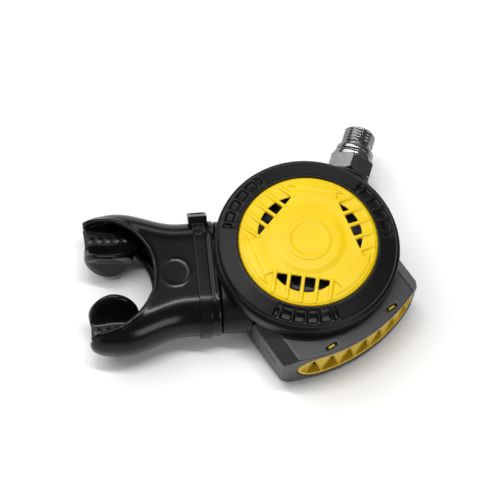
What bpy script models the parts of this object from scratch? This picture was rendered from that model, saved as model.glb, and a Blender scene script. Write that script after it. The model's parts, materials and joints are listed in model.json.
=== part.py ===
"""Second stage of a scuba regulator: a side-breathing demand valve with its mouthpiece.

The origin is on the axis of the round purge cover, in the flat back of the case. +Z points out
of the cover, and the mouthpiece points along -X. All sizes below are in millimetres.
"""
from math import asin, cos, pi, radians, sin, sqrt, tan, tau

import bmesh
import bpy
from mathutils import Matrix, Vector

MM = 0.001
GAP = 0.3                     # clearance between pieces that touch on the real object
STEPS = 40                    # sides of the large turned pieces
SMALL_STEPS = 20              # sides of the small turned pieces

# Overall sizes
COVER_RADIUS = 29.8           # yellow purge cover
CASE_DEPTH = 31.0             # flat back to the rim that the diaphragm seals on
CASE_WALL = 2.5
BACK_WALL = 2.2
PURGE_TRAVEL = 3.0            # stroke of the purge cover, and of the diaphragm under it

# Cover, ring and diaphragm stack
COVER_FLANGE = 2.2            # the cover's hidden flange stands this far out of its rim
COVER_SKIN = 1.9
COVER_DOME = 2.4              # centre of the cover above its rim
BOSS_SETBACK = 14.0           # rim of the cover to the edge of its central boss
FLANGE_THICKNESS = 1.0
LIP_THICKNESS = 1.0
LIP_CLEARANCE = 0.4
CLAMP_THICKNESS = 1.5
BEAD_HEIGHT = 1.5
MEMBRANE_THICKNESS = 0.8
MEMBRANE_SAG = 2.1            # depth of the rolled fold
PLATE_RADIUS = 13.0
POST_RADIUS = 4.0
HUB_BORE = 7.5
HUB_RADIUS = 12.0
BAYONET_STEP = 1.9            # case flange beyond the case wall
BAYONET_THICKNESS = 1.4
LUG_THICKNESS = 1.0
LUG_HALF_ANGLE = 9.0
LUG_COUNT = 3
UNLOCK_ANGLE = 25.0
RING_WALL = 2.1
RING_SHOULDER = 1.9           # width of the step outside the cone
GRIP_RIBS = 5
GRIP_PITCH = 9.1              # degrees between ribs
GRIP_RIB_WIDTH = 1.4
GRIP_DEPTH = 1.0
GRIP_CENTRES = (-100.0, 20.0, 140.0)
VENT_CENTRES = (-103.5, 16.5, 136.5)
VENT_PITCH = 6.1
VENT_RIB_WIDTH = 1.7
VENT_CELLS = 4
VENT_LEDGE = 7.2              # rim of the cover to the outer end of the through slots
VENT_RECESS = 1.0

# Mouthpiece port and mouthpiece, along -X
PORT_Y = -3.7
PORT_LOW = 1.1                # underside of the port above the flat back
PORT_STANDOFF = 2.5           # face the mouthpiece butts on, beyond the case wall
PORT_WIDTH = 51.0
SPIGOT_LENGTH = 13.0
SPIGOT_SIDE_WALL = 3.75
SPIGOT_TOP_WALL = 3.0
NECK_WALL = 2.6
NECK_BEAD = 0.7
NECK_BEAD_LENGTH = 2.2
STRAP_WIDTH = 4.4
STRAP_THICKNESS = 0.9
STRAP_HEAD = (8.3, 9.0, 5.4)  # along the port, round it, and outwards
STRAP_HEAD_ANGLE = 35.0
MOUTH_LENGTH = 58.5           # butt face to the tips of the cheeks
MOUTH_WIDTH = 65.0
MOUTH_RISE = 1.2              # cheeks taller than the neck by this much
MOUTH_WALL = 2.8
TIP_TAPER = 3.0
LIP_DEPTH = 31.7              # tips of the cheeks to the deepest point of the lip cut-out
LIP_RADIUS = 22.5
LIP_TURN = 60.0               # half angle of the lip's arc
BITE_THICKNESS = 3.2
BITE_SPACE = 10.5             # centre line to the inner face of a tongue plate
TONGUE_THICKNESS = 3.0
TONGUE_RADIUS = 11.5
TONGUE_SETBACK = 13.0         # tips of the cheeks to the middle of a tongue plate

# Demand valve, on an axis across the case
INLET_ANGLE = 67.7
INLET_OFFSET = 7.3            # valve axis to cover axis
BARREL_RADIUS = 6.5
BARREL_BORE = 5.0
BARREL_FLANGE = 2.0
BARREL_SETBACK = 14.5         # inside of the case to the barrel's inner end
BOSS_INSET = 0.44        # inner face of the inlet boss, behind where the barrel's rim
                              # would meet the inside of the case
BOSS_STANDOFF = 8.0           # the boss ends this far outside the case wall
INLET_BOSS_RADIUS = 10.7
GASKET_THICKNESS = 0.6
HEX_ACROSS_FLATS = 19.0
HEX_LENGTH = 7.4
THREAD_RADIUS = 7.15          # 9/16-18 UNF hose thread
THREAD_LENGTH = 7.6
THREAD_RELIEF = 2.0
COLLAR_LENGTH = 2.5
COLLAR_GROOVE = 0.8
BAND_LENGTH = 2.8
INLET_BORE = 3.4
ORIFICE_LENGTH = 12.3
ORIFICE_BORE = 1.5
STEM_RADIUS = 1.4
STEM_END = 1.4                # stem beyond the lock nut
NUT_LENGTH = 2.5
NUT_ACROSS_FLATS = 5.5
WASHER_THICKNESS = 1.0
POPPET_RADIUS = 2.4
SEAT_PLANE = 16.0             # sealing face of the poppet seat along the valve axis
PIVOT_HEIGHT = 5.3            # lever pivot above the valve axis
FOOT_HEIGHT = 0.5             # where the lever's feet bear on the washer
LEVER_THICKNESS = 1.2
LEVER_HALF_WIDTH = 3.2

# Exhaust horn
EXHAUST_ANGLE = -61.0
HORN_LOW = 1.5                # underside of the horn above the flat back
HORN_RING_GAP = 0.8           # roof of the horn below the cover ring
HORN_OVERHANG = 1.0           # left flank beyond the case radius
HORN_TUCK = 2.0               # right flank inside the case radius
HORN_STANDOFF = 10.3          # face beyond the case wall
HORN_FACE_RADIUS = 75.0
HORN_WALL = 1.8
HORN_CHAMFER = 5.6
HORN_SOLE = 2.0               # small bevel along the underside
SEAT_INSET = 2.4              # exhaust seat inside the horn's height
SEAT_STANDOFF = 0.5
SEAT_THICKNESS = 2.0
DISC_INSET = 0.8              # exhaust flap inside the seat's edge
LOUVRE_END_MARGIN = 3.0
LOUVRE_SIDE_MARGIN = 3.3
LOUVRE_THICKNESS = 3.0
LOUVRE_RAIL = 1.7
LOUVRE_END = 3.0
LOUVRE_BAYS = 7
LOUVRE_RIB = 1.3              # foot of the pointed ribs between the bays
LOUVRE_APEX_GAP = 1.2         # top of a bay below the upper rail
TAB_PLACES = (-16.0, 16.0)
TAB_WIDTH = 7.8
TAB_THICKNESS = 1.5

# Sizes that follow from the ones above
CASE_INNER = COVER_RADIUS + 3.7
CASE_RADIUS = CASE_INNER + CASE_WALL
BAYONET_RADIUS = CASE_RADIUS + BAYONET_STEP
RING_SKIRT = BAYONET_RADIUS + GAP
RING_RADIUS = RING_SKIRT + RING_WALL
CLAMP_RADIUS = CASE_RADIUS - GAP
BOSS_RADIUS = COVER_RADIUS - BOSS_SETBACK
VENT_CHORD = BOSS_RADIUS - 0.2                # straight inner edge of a vent group
VENT_SLOT_RADIUS = COVER_RADIUS - VENT_LEDGE
BEAD_INNER = CASE_INNER + 0.2
COVER_FLANGE_RADIUS = COVER_RADIUS + COVER_FLANGE
RING_BORE = COVER_FLANGE_RADIUS + 0.6
RING_LIP = COVER_RADIUS + LIP_CLEARANCE
BEAD_BASE = CASE_DEPTH + GAP
CLAMP_BASE = BEAD_BASE + BEAD_HEIGHT + GAP
CLAMP_TOP = CLAMP_BASE + CLAMP_THICKNESS
FLANGE_BASE = CLAMP_TOP + GAP + PURGE_TRAVEL
LIP_BASE = FLANGE_BASE + FLANGE_THICKNESS + GAP
RING_TOP = LIP_BASE + LIP_THICKNESS
COVER_RIM = RING_TOP - 0.2
COVER_UNDERSIDE = COVER_RIM + 0.7 - COVER_SKIN
BAYONET_BASE = CASE_DEPTH - BAYONET_THICKNESS
RING_BASE = BAYONET_BASE - GAP - LUG_THICKNESS
MEMBRANE_MID = BEAD_BASE + MEMBRANE_THICKNESS * 0.9
PLATE_TOP = MEMBRANE_MID + MEMBRANE_THICKNESS / 2
PLATE_BASE = MEMBRANE_MID - MEMBRANE_THICKNESS / 2
CONE_RADIUS = RING_RADIUS - RING_SHOULDER
CONE_EDGE = RING_TOP - 2.2
PORT_SHOULDER = CASE_RADIUS + PORT_STANDOFF
PORT_TOP = RING_BASE - 2 * GAP
PORT_HEIGHT = PORT_TOP - PORT_LOW
PORT_Z = (PORT_TOP + PORT_LOW) / 2
NECK_WIDTH = PORT_WIDTH + GAP
NECK_HEIGHT = 2 * (RING_BASE - GAP - NECK_BEAD - PORT_Z)
SPIGOT_WIDTH = NECK_WIDTH - 2 * (GAP + NECK_WALL)
SPIGOT_HEIGHT = NECK_HEIGHT - 2 * (GAP + NECK_WALL)
PORT_BORE_WIDTH = SPIGOT_WIDTH - 2 * SPIGOT_SIDE_WALL
PORT_BORE_HEIGHT = SPIGOT_HEIGHT - 2 * SPIGOT_TOP_WALL
STRAP_CENTRE = PORT_SHOULDER + NECK_BEAD_LENGTH + 2 * GAP + STRAP_HEAD[0] / 2 + 0.05
MOUTH_REACH = PORT_SHOULDER + MOUTH_LENGTH
MOUTH_HEIGHT = NECK_HEIGHT + MOUTH_RISE
LIP_APEX = MOUTH_REACH - LIP_DEPTH
TONGUE_CENTRE = MOUTH_REACH - TONGUE_SETBACK
INLET_Z = RING_BASE - 2 * GAP - INLET_BOSS_RADIUS
BARREL_INNER_END = BARREL_SETBACK - CASE_INNER
BARREL_RIM = BARREL_RADIUS + BARREL_FLANGE
BOSS_START = sqrt(CASE_INNER ** 2 - (INLET_OFFSET + BARREL_RIM) ** 2) - BOSS_INSET
BOSS_END = CASE_RADIUS + BOSS_STANDOFF
FITTING_FACE = BOSS_END + GASKET_THICKNESS + 2 * GAP
LEVER_TOP = PLATE_BASE - GAP - INLET_Z
LEVER_FORK = BARREL_INNER_END - GAP
LEVER_ARM = -LEVER_FORK
LIFT_ARM = PIVOT_HEIGHT - FOOT_HEIGHT         # foot to pivot; the valve opens by this share
LEVER_SWING = PURGE_TRAVEL / LEVER_ARM
WASHER_FACE = LEVER_FORK - LEVER_THICKNESS - GAP
HORN_TOP = RING_BASE - HORN_RING_GAP
EXHAUST_Z = (HORN_TOP + HORN_LOW) / 2
HORN_HALF_HEIGHT = (HORN_TOP - HORN_LOW) / 2
HORN_LEFT = CASE_RADIUS + HORN_OVERHANG
HORN_RIGHT = CASE_RADIUS - HORN_TUCK
HORN_REACH = CASE_RADIUS + HORN_STANDOFF
HORN_SIDE_END = CASE_RADIUS
SEAT_RADIUS = HORN_HALF_HEIGHT - SEAT_INSET
SEAT_FACE = CASE_RADIUS + SEAT_STANDOFF
VALVE_DISC_RADIUS = SEAT_RADIUS - DISC_INSET
LOUVRE_HALF_LENGTH = HORN_RIGHT - LOUVRE_END_MARGIN
LOUVRE_HALF_HEIGHT = HORN_HALF_HEIGHT - LOUVRE_SIDE_MARGIN

PARTS = "scuba_second_stage"
CUTTERS = "cutters"
FACING = {                    # which way the thickness of a flat piece runs
    "X": Matrix(((0, 0, 1, 0), (1, 0, 0, 0), (0, 1, 0, 0), (0, 0, 0, 1))),
    "Y": Matrix(((0, 1, 0, 0), (0, 0, 1, 0), (1, 0, 0, 0), (0, 0, 0, 1))),
    "Z": Matrix.Identity(4),
}


# ---------------------------------------------------------------- scene helpers
def clear_scene():
    for item in list(bpy.data.objects):
        bpy.data.objects.remove(item, do_unlink=True)


def collection(name):
    group = bpy.data.collections.get(name)
    if group is None:
        group = bpy.data.collections.new(name)
        bpy.context.scene.collection.children.link(group)
    return group


def frame(name, angle, offset, height):
    """An empty whose Z runs outwards at the angle, whose X is up, offset to the right of it."""
    empty = bpy.data.objects.new(name, None)
    collection(PARTS).objects.link(empty)
    along = Vector((cos(radians(angle)), sin(radians(angle)), 0))
    side = Vector((along.y, -along.x, 0))
    turn = Matrix((Vector((0, 0, 1)), side, along)).transposed().to_4x4()
    place = side * offset + Vector((0, 0, height))
    empty.matrix_world = Matrix.Translation(place * MM) @ turn
    return empty


def add_object(name, mesh, parent=None):
    item = bpy.data.objects.new(name, mesh)
    collection(PARTS).objects.link(item)
    item.parent = parent
    return item


def as_cutter(item):
    collection(PARTS).objects.unlink(item)
    collection(CUTTERS).objects.link(item)
    item.hide_render = True
    item.display_type = "WIRE"
    return item


def modify(item, other, operation):
    as_cutter(other)
    change = item.modifiers.new(other.name, "BOOLEAN")
    change.operation = operation
    change.object = other
    change.solver = item.get("solver", "EXACT")
    return item


def cut(item, *tools):
    for tool in tools:
        modify(item, tool, "DIFFERENCE")
    return item


def join(item, *pieces):
    for piece in pieces:
        modify(item, piece, "UNION")
    return item


def finish(item, colour, roughness, metallic=0.0):
    material = bpy.data.materials.new(item.name)
    material.use_nodes = True
    shader = material.node_tree.nodes["Principled BSDF"]
    shader.inputs["Base Color"].default_value = (*colour, 1.0)
    shader.inputs["Roughness"].default_value = roughness
    shader.inputs["Metallic"].default_value = metallic
    item.data.materials.append(material)
    item.data.shade_smooth()
    return item


# ---------------------------------------------------------------- shapes
def turned(name, profile, parent=None, steps=STEPS, closed=False):
    """A turned piece from (radius, height) points that run down its outer side."""
    mesh = bpy.data.meshes.new(name)
    points = [(radius * MM, 0.0, height * MM) for radius, height in profile]
    edges = [(index, index + 1) for index in range(len(points) - 1)]
    if closed:
        edges.append((len(points) - 1, 0))
    mesh.from_pydata(points, edges, [])
    item = add_object(name, mesh, parent)
    screw = item.modifiers.new("turn", "SCREW")
    screw.steps = steps
    screw.render_steps = steps
    screw.use_merge_vertices = True
    screw.merge_threshold = 0.00001
    return item


def tube(name, inner, outer, low, high, parent=None, steps=SMALL_STEPS):
    """A washer or sleeve along the local Z axis."""
    profile = [(inner, high), (outer, high), (outer, low), (inner, low)]
    return turned(name, profile, parent, steps, closed=True)


def rod(name, radius, low, high, parent=None, steps=SMALL_STEPS):
    """A plain cylinder along the local Z axis."""
    return turned(name, [(0, high), (radius, high), (radius, low), (0, low)], parent, steps)


def plate(name, outline, low, high, parent=None, facing="Z"):
    """A flat outline with its thickness from low to high along the facing axis."""
    curve = bpy.data.curves.new(name, "CURVE")
    curve.dimensions = "2D"
    curve.fill_mode = "BOTH"
    curve.extrude = (high - low) / 2 * MM
    spline = curve.splines.new("POLY")
    spline.points.add(len(outline) - 1)
    for point, (first, second) in zip(spline.points, outline):
        point.co = (first * MM, second * MM, 0, 1)
    spline.use_cyclic_u = True
    source = bpy.data.objects.new(name, curve)
    bpy.context.scene.collection.objects.link(source)
    mesh = welded_mesh(source)
    mesh.transform(FACING[facing] @ Matrix.Translation((0, 0, (high + low) / 2 * MM)))
    return add_object(name, mesh, parent)


def welded_mesh(source):
    """The evaluated mesh of a curve object with its caps welded; the curve is removed."""
    graph = bpy.context.evaluated_depsgraph_get()
    mesh = bpy.data.meshes.new_from_object(source.evaluated_get(graph))
    work = bmesh.new()
    work.from_mesh(mesh)
    bmesh.ops.remove_doubles(work, verts=work.verts, dist=0.000001)
    bmesh.ops.recalc_face_normals(work, faces=work.faces)
    work.to_mesh(mesh)
    work.free()
    name = source.name
    bpy.data.objects.remove(source, do_unlink=True)
    mesh.name = name
    return mesh


def block(name, low, high, parent=None):
    work = bmesh.new()
    bmesh.ops.create_cube(work, size=1.0)
    size = [(b - a) * MM for a, b in zip(low, high)]
    middle = [(a + b) / 2 * MM for a, b in zip(low, high)]
    bmesh.ops.scale(work, vec=size, verts=work.verts)
    bmesh.ops.translate(work, vec=middle, verts=work.verts)
    mesh = bpy.data.meshes.new(name)
    work.to_mesh(mesh)
    work.free()
    return add_object(name, mesh, parent)


def ring_torus(name, radius, thickness, height, parent=None, steps=SMALL_STEPS, sides=8):
    """An O-ring about the local Z axis."""
    profile = []
    for index in range(sides):
        angle = -tau * index / sides
        profile.append((radius + thickness * cos(angle), height + thickness * sin(angle)))
    return turned(name, profile, parent, steps, closed=True)


def coil(name, radius, wire, low, high, turns, parent=None, points_per_turn=10):
    """A wound spring about the local Z axis."""
    curve = bpy.data.curves.new(name, "CURVE")
    curve.dimensions = "3D"
    curve.bevel_depth = wire * MM
    curve.bevel_resolution = 1
    curve.use_fill_caps = True
    count = turns * points_per_turn
    spline = curve.splines.new("POLY")
    spline.points.add(count)
    for index, point in enumerate(spline.points):
        angle = tau * index / points_per_turn
        height = low + wire + (high - low - 2 * wire) * index / count
        point.co = (radius * cos(angle) * MM, radius * sin(angle) * MM, height * MM, 1)
    source = bpy.data.objects.new(name, curve)
    bpy.context.scene.collection.objects.link(source)
    return add_object(name, welded_mesh(source), parent)


def loft(name, rings, parent=None):
    """A closed body through rings of (x, y, z) points, all with the same count."""
    mesh = bpy.data.meshes.new(name)
    count = len(rings[0])
    points = [(x * MM, y * MM, z * MM) for ring in rings for x, y, z in ring]
    faces = [tuple(range(count))[::-1]]
    for level in range(len(rings) - 1):
        for index in range(count):
            after = (index + 1) % count
            low = level * count
            faces.append((low + index, low + after, low + count + after, low + count + index))
    last = (len(rings) - 1) * count
    faces.append(tuple(range(last, last + count)))
    mesh.from_pydata(points, [], faces)
    work = bmesh.new()
    work.from_mesh(mesh)
    bmesh.ops.recalc_face_normals(work, faces=work.faces)
    work.to_mesh(mesh)
    work.free()
    return add_object(name, mesh, parent)


# ---------------------------------------------------------------- outlines
def arc(centre, radius, start, end, count):
    """Points on an arc, with the angles in degrees."""
    points = []
    for index in range(count + 1):
        angle = radians(start + (end - start) * index / count)
        points.append((centre[0] + radius * cos(angle), centre[1] + radius * sin(angle)))
    return points


def stadium(width, height, centre=(0.0, 0.0), count=8):
    radius = height / 2
    reach = width / 2 - radius
    right = arc((centre[0] + reach, centre[1]), radius, -90, 90, count)
    left = arc((centre[0] - reach, centre[1]), radius, 90, 270, count)
    return right + left


def sector(inner, outer, start, end, count=6):
    return arc((0, 0), outer, start, end, count) + arc((0, 0), inner, end, start, count)


def polar_point(angle, along, across):
    """The plan point at a distance along a direction from the axis, and across it."""
    turn = radians(angle)
    return (along * cos(turn) - across * sin(turn), along * sin(turn) + across * cos(turn))


def port_outline(width, height):
    return stadium(width, height, (PORT_Y, PORT_Z))


# ---------------------------------------------------------------- case and covers
def build_case(valve, exhaust):
    outer = CASE_RADIUS
    profile = [
        (0, CASE_DEPTH), (BAYONET_RADIUS, CASE_DEPTH), (BAYONET_RADIUS, BAYONET_BASE),
        (outer, BAYONET_BASE), (outer, 4.0), (outer - 1.2, 1.2), (outer - 4.0, 0), (0, 0),
    ]
    case = turned("case", profile)
    case["solver"] = "MANIFOLD"        # EXACT leaves open slivers where the bosses meet the wall
    start = -CASE_RADIUS * 0.6
    end = -(PORT_SHOULDER + SPIGOT_LENGTH)
    join(case, plate("port_tube", port_outline(PORT_WIDTH, PORT_HEIGHT),
                     -PORT_SHOULDER, start, facing="X"))
    join(case, plate("port_spigot", port_outline(SPIGOT_WIDTH, SPIGOT_HEIGHT),
                     end, start, facing="X"))
    chamber = [
        (0, CASE_DEPTH + 5), (CASE_INNER, CASE_DEPTH + 5), (CASE_INNER, BACK_WALL + 2.4),
        (CASE_INNER - 2.4, BACK_WALL), (0, BACK_WALL),
    ]
    cut(case, turned("chamber", chamber))
    join(case, rod("inlet_boss", INLET_BOSS_RADIUS, BOSS_START, BOSS_END, valve))
    join(case, rod("valve_seat_disc", SEAT_RADIUS, SEAT_FACE - 5.5, SEAT_FACE, exhaust))
    cut(case, plate("port_bore", port_outline(PORT_BORE_WIDTH, PORT_BORE_HEIGHT),
                    end - 1, start - 3, facing="X"))
    cut(case, rod("barrel_hole", BARREL_RADIUS + GAP, BOSS_START - 5, BOSS_END + 1, valve, 26))
    cut_exhaust_seat(case, exhaust)
    for index in range(LUG_COUNT):
        middle = index * 360 / LUG_COUNT + UNLOCK_ANGLE
        half = LUG_HALF_ANGLE + 2.5
        notch = sector(CASE_RADIUS + 0.15, BAYONET_RADIUS + 1, middle - half, middle + half)
        cut(case, plate(f"bayonet_notch_{index}", notch, BAYONET_BASE - 1, CASE_DEPTH + 1))
    return finish(case, (0.02, 0.02, 0.022), 0.35)


def cut_exhaust_seat(case, exhaust):
    """Four windows and a stem hole through the seat of the exhaust valve."""
    window = SEAT_RADIUS - 2.4
    pocket_end = SEAT_FACE - SEAT_THICKNESS
    cut(case, rod("seat_pocket", window + 0.5, SEAT_FACE - 9, pocket_end, exhaust))
    for index in range(4):
        outline = sector(3.0, window, index * 90 + 9, index * 90 + 81)
        cut(case, plate(f"seat_window_{index}", outline, pocket_end - 1, SEAT_FACE + 1, exhaust))
    cut(case, rod("stem_hole", 1.2, pocket_end - 1, SEAT_FACE + 1, exhaust, 12))


def build_ring():
    groove = 0.6
    profile = [
        (RING_LIP, RING_TOP), (CONE_RADIUS, CONE_EDGE), (CONE_RADIUS + groove, CONE_EDGE - groove),
        (CONE_RADIUS + groove, CONE_EDGE - 2.2), (RING_RADIUS - 0.5, CONE_EDGE - 2.2),
        (RING_RADIUS, CONE_EDGE - 2.7), (RING_RADIUS, RING_BASE + 0.4),
        (RING_RADIUS - 0.4, RING_BASE), (CASE_RADIUS + 0.4, RING_BASE),
        (CASE_RADIUS + 0.4, RING_BASE + LUG_THICKNESS), (RING_SKIRT, RING_BASE + LUG_THICKNESS),
        (RING_SKIRT, CLAMP_TOP + GAP), (RING_BORE, CLAMP_TOP + GAP), (RING_BORE, LIP_BASE),
        (RING_LIP, LIP_BASE),
    ]
    ring = turned("cover_ring", profile, closed=True, steps=54)
    free = 360 / LUG_COUNT - 2 * LUG_HALF_ANGLE
    for index in range(LUG_COUNT):
        start = index * 360 / LUG_COUNT + LUG_HALF_ANGLE
        relief = sector(CASE_RADIUS, RING_SKIRT + 0.1, start, start + free, 14)
        cut(ring, plate(f"lug_relief_{index}", relief, RING_BASE - 1,
                        RING_BASE + LUG_THICKNESS + 0.1))
    for centre in GRIP_CENTRES:
        for pocket in range(GRIP_RIBS - 1):
            middle = centre + (pocket - (GRIP_RIBS - 2) / 2) * GRIP_PITCH
            cut(ring, grip_pocket(f"grip_{centre:.0f}_{pocket}", middle))
    return finish(ring, (0.02, 0.02, 0.022), 0.4)


def grip_pocket(name, middle):
    """A pocket in the ring's cone, with a rib left on each side of it."""
    inner = RING_LIP + 1.6
    outer = CONE_RADIUS - 0.9
    half = (radians(GRIP_PITCH) * outer - GRIP_RIB_WIDTH) / 2
    low = RING_TOP - GRIP_DEPTH - 0.9
    outline = [
        polar_point(middle, inner, -half), polar_point(middle, outer, -half),
        polar_point(middle, outer, half), polar_point(middle, inner, half),
    ]
    return plate(name, outline, low, RING_TOP + 1)


def build_purge_cover():
    top = COVER_RIM + COVER_DOME
    skin = COVER_SKIN
    foot = PLATE_TOP + GAP
    profile = [
        (0, top), (BOSS_RADIUS - 1.0, top - 0.2), (BOSS_RADIUS + 0.4, top - 0.9),
        (COVER_RADIUS - 1.2, COVER_RIM + 0.5), (COVER_RADIUS, COVER_RIM - 0.3),
        (COVER_RADIUS, LIP_BASE - GAP), (COVER_FLANGE_RADIUS, LIP_BASE - GAP),
        (COVER_FLANGE_RADIUS, FLANGE_BASE), (COVER_RADIUS - 1.8, FLANGE_BASE),
        (COVER_RADIUS - 1.8, COVER_RIM + 0.4 - skin), (BOSS_RADIUS, COVER_UNDERSIDE),
        (POST_RADIUS, COVER_UNDERSIDE), (POST_RADIUS, foot), (0, foot),
    ]
    cover = turned("purge_cover", profile)
    for group, angle in enumerate(VENT_CENTRES):
        for cell in range(VENT_CELLS):
            middle = (cell - (VENT_CELLS - 1) / 2) * VENT_PITCH
            cut(cover, *vent_cell(f"vent_{group}_{cell}", angle, middle))
    return finish(cover, (0.9, 0.66, 0.02), 0.4)


def vent_cell(name, angle, middle):
    """The shallow recess of one vent cell, and the slot through its inner end."""
    half = (VENT_PITCH - VENT_RIB_WIDTH) / 2
    sides = (middle - half, middle + half)
    rim = COVER_RADIUS - 1.0
    floor = COVER_RIM + 1.2 - VENT_RECESS
    recess = [polar_point(angle, VENT_CHORD, sides[0])]
    recess += [polar_point(angle, sqrt(rim ** 2 - side ** 2), side) for side in sides]
    recess += [polar_point(angle, VENT_CHORD, sides[1])]
    ledge = 0.15
    inner = (sides[0] + ledge, sides[1] - ledge)
    slot = [polar_point(angle, VENT_CHORD + ledge, inner[0])]
    slot += [polar_point(angle, sqrt(VENT_SLOT_RADIUS ** 2 - side ** 2), side) for side in inner]
    slot += [polar_point(angle, VENT_CHORD + ledge, inner[1])]
    return (plate(f"{name}_recess", recess, floor, COVER_RIM + 5),
            plate(f"{name}_slot", slot, FLANGE_BASE - 1, COVER_RIM + 6))


def build_clamp():
    """The spoked washer that holds the diaphragm down and carries the purge spring."""
    outline = arc((0, 0), CLAMP_RADIUS, 0, 360 - 360 / STEPS, STEPS - 1)
    clamp = plate("diaphragm_clamp", outline, CLAMP_BASE, CLAMP_TOP)
    rim = RING_BORE - 1.0
    for index in range(6):
        outline = sector(HUB_RADIUS, rim, index * 60 + 5, index * 60 + 55)
        cut(clamp, plate(f"clamp_window_{index}", outline, CLAMP_BASE - 1, CLAMP_TOP + 1))
    cut(clamp, rod("clamp_bore", HUB_BORE, CLAMP_BASE - 1, CLAMP_TOP + 1))
    return finish(clamp, (0.03, 0.03, 0.03), 0.5)


def build_diaphragm():
    """The silicone membrane: a flat inner band, a fold, and a bead under the clamp."""
    half = MEMBRANE_THICKNESS / 2
    inner = PLATE_RADIUS + GAP
    fold_start = inner + 6.5
    fold_end = BEAD_INNER - 3.5
    middle = (fold_start + fold_end) / 2
    reach = (fold_end - fold_start) / 2
    line = [(inner, MEMBRANE_MID), (fold_start, MEMBRANE_MID)]
    for index in range(1, 4):
        angle = pi * index / 4
        line.append((middle - reach * cos(angle), MEMBRANE_MID - MEMBRANE_SAG * sin(angle)))
    line += [(fold_end, MEMBRANE_MID), (BEAD_INNER, MEMBRANE_MID)]
    upper = [(radius, height + half) for radius, height in line]
    lower = [(radius, height - half) for radius, height in reversed(line)]
    bead = [(BEAD_INNER, BEAD_BASE + BEAD_HEIGHT), (CLAMP_RADIUS, BEAD_BASE + BEAD_HEIGHT),
            (CLAMP_RADIUS, BEAD_BASE), (BEAD_INNER, BEAD_BASE)]
    diaphragm = turned("diaphragm", upper + bead + lower, steps=32, closed=True)
    return finish(diaphragm, (0.05, 0.05, 0.055), 0.5)


def build_stack():
    rim = PLATE_RADIUS
    profile = [(0, PLATE_TOP), (rim - 0.2, PLATE_TOP), (rim, PLATE_TOP - 0.2),
               (rim, PLATE_BASE + 0.2), (rim - 0.2, PLATE_BASE), (0, PLATE_BASE)]
    finish(turned("diaphragm_plate", profile), (0.6, 0.6, 0.62), 0.3, 1.0)
    spring = coil("purge_spring", (HUB_BORE + HUB_RADIUS) / 2, 0.45, CLAMP_TOP + GAP,
                  COVER_UNDERSIDE - GAP, 3)
    finish(spring, (0.6, 0.6, 0.62), 0.3, 1.0)


# ---------------------------------------------------------------- demand valve
def build_barrel(valve):
    flange = BOSS_START - GASKET_THICKNESS - 2 * GAP
    bore = BARREL_BORE
    outer = BARREL_RADIUS
    rim = BARREL_RIM
    end = BARREL_INNER_END
    profile = [
        (bore, BOSS_END), (outer, BOSS_END), (outer, flange), (rim, flange),
        (rim, flange - 1.5), (outer, flange - 1.5), (outer, end),
        (STEM_RADIUS + GAP, end), (STEM_RADIUS + GAP, end + 1.5), (bore, end + 1.5),
    ]
    barrel = turned("valve_barrel", profile, valve, SMALL_STEPS, closed=True)
    cut(barrel, block("air_window", (-3, -outer - 2, -3), (3, 1.5 - bore, 7), valve))
    finish(barrel, (0.75, 0.73, 0.68), 0.3, 1.0)
    gasket = tube("barrel_gasket", outer + GAP, rim, flange + GAP,
                  flange + GAP + GASKET_THICKNESS, valve)
    finish(gasket, (0.02, 0.02, 0.02), 0.6)


def build_fitting(valve):
    """Hex fitting with the hose thread; its spigot goes into the barrel."""
    base = FITTING_FACE
    shoulder = base + HEX_LENGTH
    band = shoulder + BAND_LENGTH
    groove = band + COLLAR_GROOVE
    collar = groove + COLLAR_LENGTH
    thread = collar + THREAD_RELIEF
    tip = thread + THREAD_LENGTH
    outer = THREAD_RADIUS
    relief = outer - 0.95
    flat = HEX_ACROSS_FLATS / 2
    core = flat - 1.1
    spigot = BARREL_BORE - GAP
    inner_end = SEAT_PLANE + ORIFICE_LENGTH + GAP
    profile = [
        (INLET_BORE, tip), (outer - 0.7, tip), (outer, tip - 0.7), (outer, thread),
        (relief, thread - 0.3), (relief, collar), (outer + 1.45, collar), (outer + 1.45, groove),
        (outer + 0.25, groove), (outer + 0.25, band), (flat, band), (flat, shoulder + 0.3),
        (core, shoulder), (core, base + 0.5), (spigot, base + 0.5), (spigot, inner_end),
        (INLET_BORE, inner_end),
    ]
    fitting = turned("inlet_fitting", profile, valve, 32, closed=True)
    corner = HEX_ACROSS_FLATS / sqrt(3)
    hexagon = plate("hex", arc((0, 0), corner, 0, 300, 5), base, shoulder, valve)
    cut(hexagon, rod("hex_bore", spigot - 0.4, base - 1, shoulder + 1, valve, 32))
    join(fitting, hexagon)
    finish(fitting, (0.72, 0.71, 0.68), 0.25, 1.0)
    washer = tube("inlet_washer", BARREL_RADIUS + GAP, INLET_BOSS_RADIUS - 0.8, BOSS_END + GAP,
                  BOSS_END + GAP + GASKET_THICKNESS, valve)
    finish(washer, (0.02, 0.02, 0.02), 0.6)


def build_orifice(valve):
    edge = SEAT_PLANE + GAP
    back = SEAT_PLANE + ORIFICE_LENGTH
    outer = BARREL_BORE - GAP
    groove = SEAT_PLANE + 7.2
    ring = 0.7
    profile = [
        (ORIFICE_BORE, back), (outer, back), (outer, groove + 1.2), (outer - 1.3, groove + 1.2),
        (outer - 1.3, groove - 1.2), (outer, groove - 1.2), (outer, edge + 4.0),
        (outer - 1.1, edge + 3.0), (ORIFICE_BORE + 0.9, edge + 1.2), (ORIFICE_BORE + 0.5, edge),
        (ORIFICE_BORE, edge),
    ]
    orifice = turned("orifice", profile, valve, SMALL_STEPS, closed=True)
    finish(orifice, (0.75, 0.73, 0.68), 0.25, 1.0)
    oring = ring_torus("orifice_oring", outer - 0.55, ring, groove, valve)
    finish(oring, (0.02, 0.02, 0.02), 0.55)


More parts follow.
